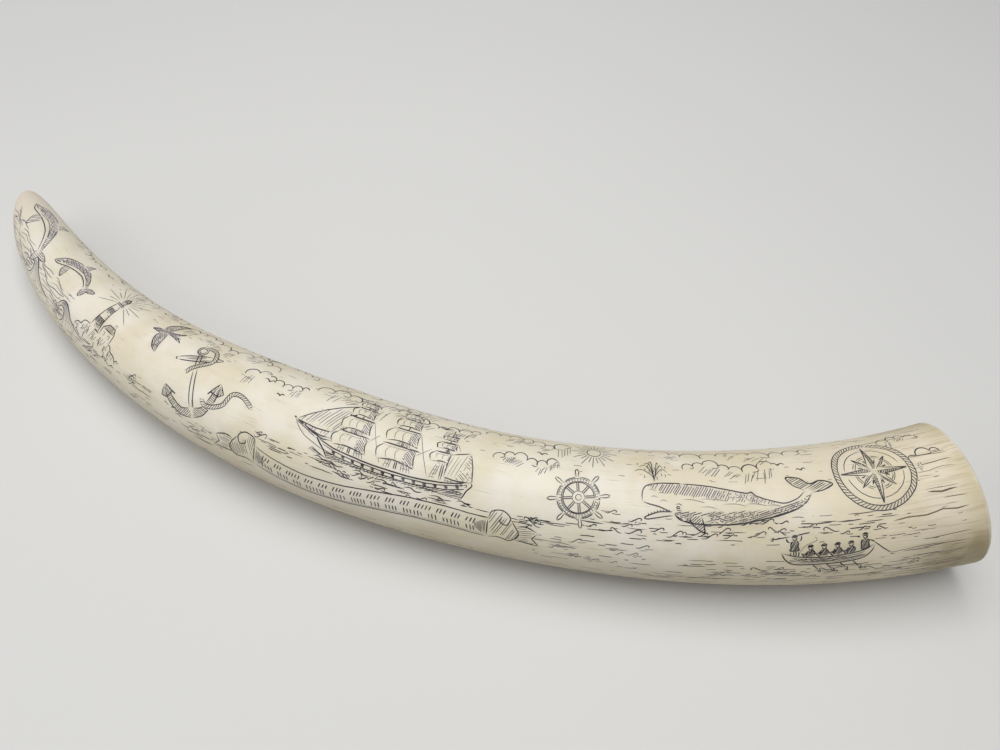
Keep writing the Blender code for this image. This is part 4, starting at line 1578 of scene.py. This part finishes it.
def add_softbox(name, place, aim, size, watts, colour):
    light = bpy.data.lights.new(name, "AREA")
    light.shape = "RECTANGLE"
    light.size, light.size_y = size
    light.energy = watts
    light.color = colour
    lamp = bpy.data.objects.new(name, light)
    lamp.location = place
    bpy.context.scene.collection.objects.link(lamp)
    aim_at(lamp, aim)


def make_stage():
    make_floor()
    camera_data = bpy.data.cameras.new("camera")
    camera_data.lens = CAMERA_LENS_MM
    camera = bpy.data.objects.new("camera", camera_data)
    camera.location = CAMERA_PLACE
    bpy.context.scene.collection.objects.link(camera)
    aim_at(camera, CAMERA_AIM)
    bpy.context.scene.camera = camera
    add_softbox("overhead", (0.02, 0.02, 1.15), (0, 0, 0), (1.1, 0.75), 10.8, (1.0, 0.985, 0.96))
    add_softbox("fill", (-1.0, -0.6, 0.72), (-0.08, 0, 0), (1.2, 0.9), 4.4, (1.0, 0.985, 0.965))
    world = bpy.data.worlds.new("pale_room")
    world.use_nodes = True
    set_inputs(world.node_tree, world.node_tree.nodes["Background"],
               {"Color": ROOM_COLOUR, "Strength": ROOM_STRENGTH})
    bpy.context.scene.world = world
    bpy.context.scene.view_settings.view_transform = "Standard"


def make_pieces():
    """The casting and its four inks, in the part's frame."""
    engrave()
    places, triangles, inks, haze, first_ring, last_ring = triangulate_plate()
    body, end_faces, sawn_from, rim_turn = close_ends(places, first_ring, last_ring)
    faces = list(triangles) + end_faces
    sawn = np.zeros(len(faces), bool)
    sawn[len(triangles) + sawn_from:] = True
    haze = np.concatenate([haze, np.zeros(len(body) - len(haze))])
    to_rim = (sawn_place(body[:, 1], radius_mm(LENGTH_MM)) - body[:, 0]) * MM
    used = np.unique(np.concatenate([np.ravel(face) for face in faces]))
    renumber = np.full(len(body), -1)
    renumber[used] = np.arange(len(used))
    tree, centreline, effects = make_wrap_tree(), make_centreline(), make_effects()
    casting_faces = [renumber[list(face)] for face in faces]
    casting = wrap_piece("engraved_casting", body[used], casting_faces, tree, centreline, make_ivory(effects),
                         make_sawn_ivory(effects), sawn, {"ink_haze": haze[used], "to_rim": to_rim[used]})
    made = vertex_places(casting.data)
    wanted = np.array(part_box("tusk"))
    shift = (wanted[0] + wanted[1] - made.min(0) - made.max(0)) / 2 * (1, 1, 0)
    normals = surface_normals(body[used])
    lean = math.radians(BUTT_LEAN)
    level = math.cos(lean)
    sawn_normal = np.array([math.cos(heading(1)) * level, math.sin(heading(1)) * level, math.sin(lean)])
    for vertex, turn in rim_turn.items():
        mixed = normals[renumber[vertex]] * math.cos(turn) + sawn_normal * math.sin(turn)
        normals[renumber[vertex]] = mixed / np.linalg.norm(mixed)
    settle(casting, shift, normals)

    pieces = [casting]
    for ink, (name, (colour, worn)) in enumerate(INK_COLOURS.items()):
        ink_places, ink_faces = ink_body(places, [tuple(t) for t in triangles[inks == ink].tolist()])
        finish = make_ink(name, colour, worn, effects)
        lines = wrap_piece(name, ink_places, ink_faces, tree, centreline, finish)
        settle(lines, shift, surface_normals(ink_places))
        pieces.append(lines)
    bpy.data.objects.remove(centreline)
    for piece in pieces:
        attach(piece, "root")
        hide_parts("tusk")
        print(piece.name, len(piece.data.polygons), "faces")


make_stage()
make_pieces()
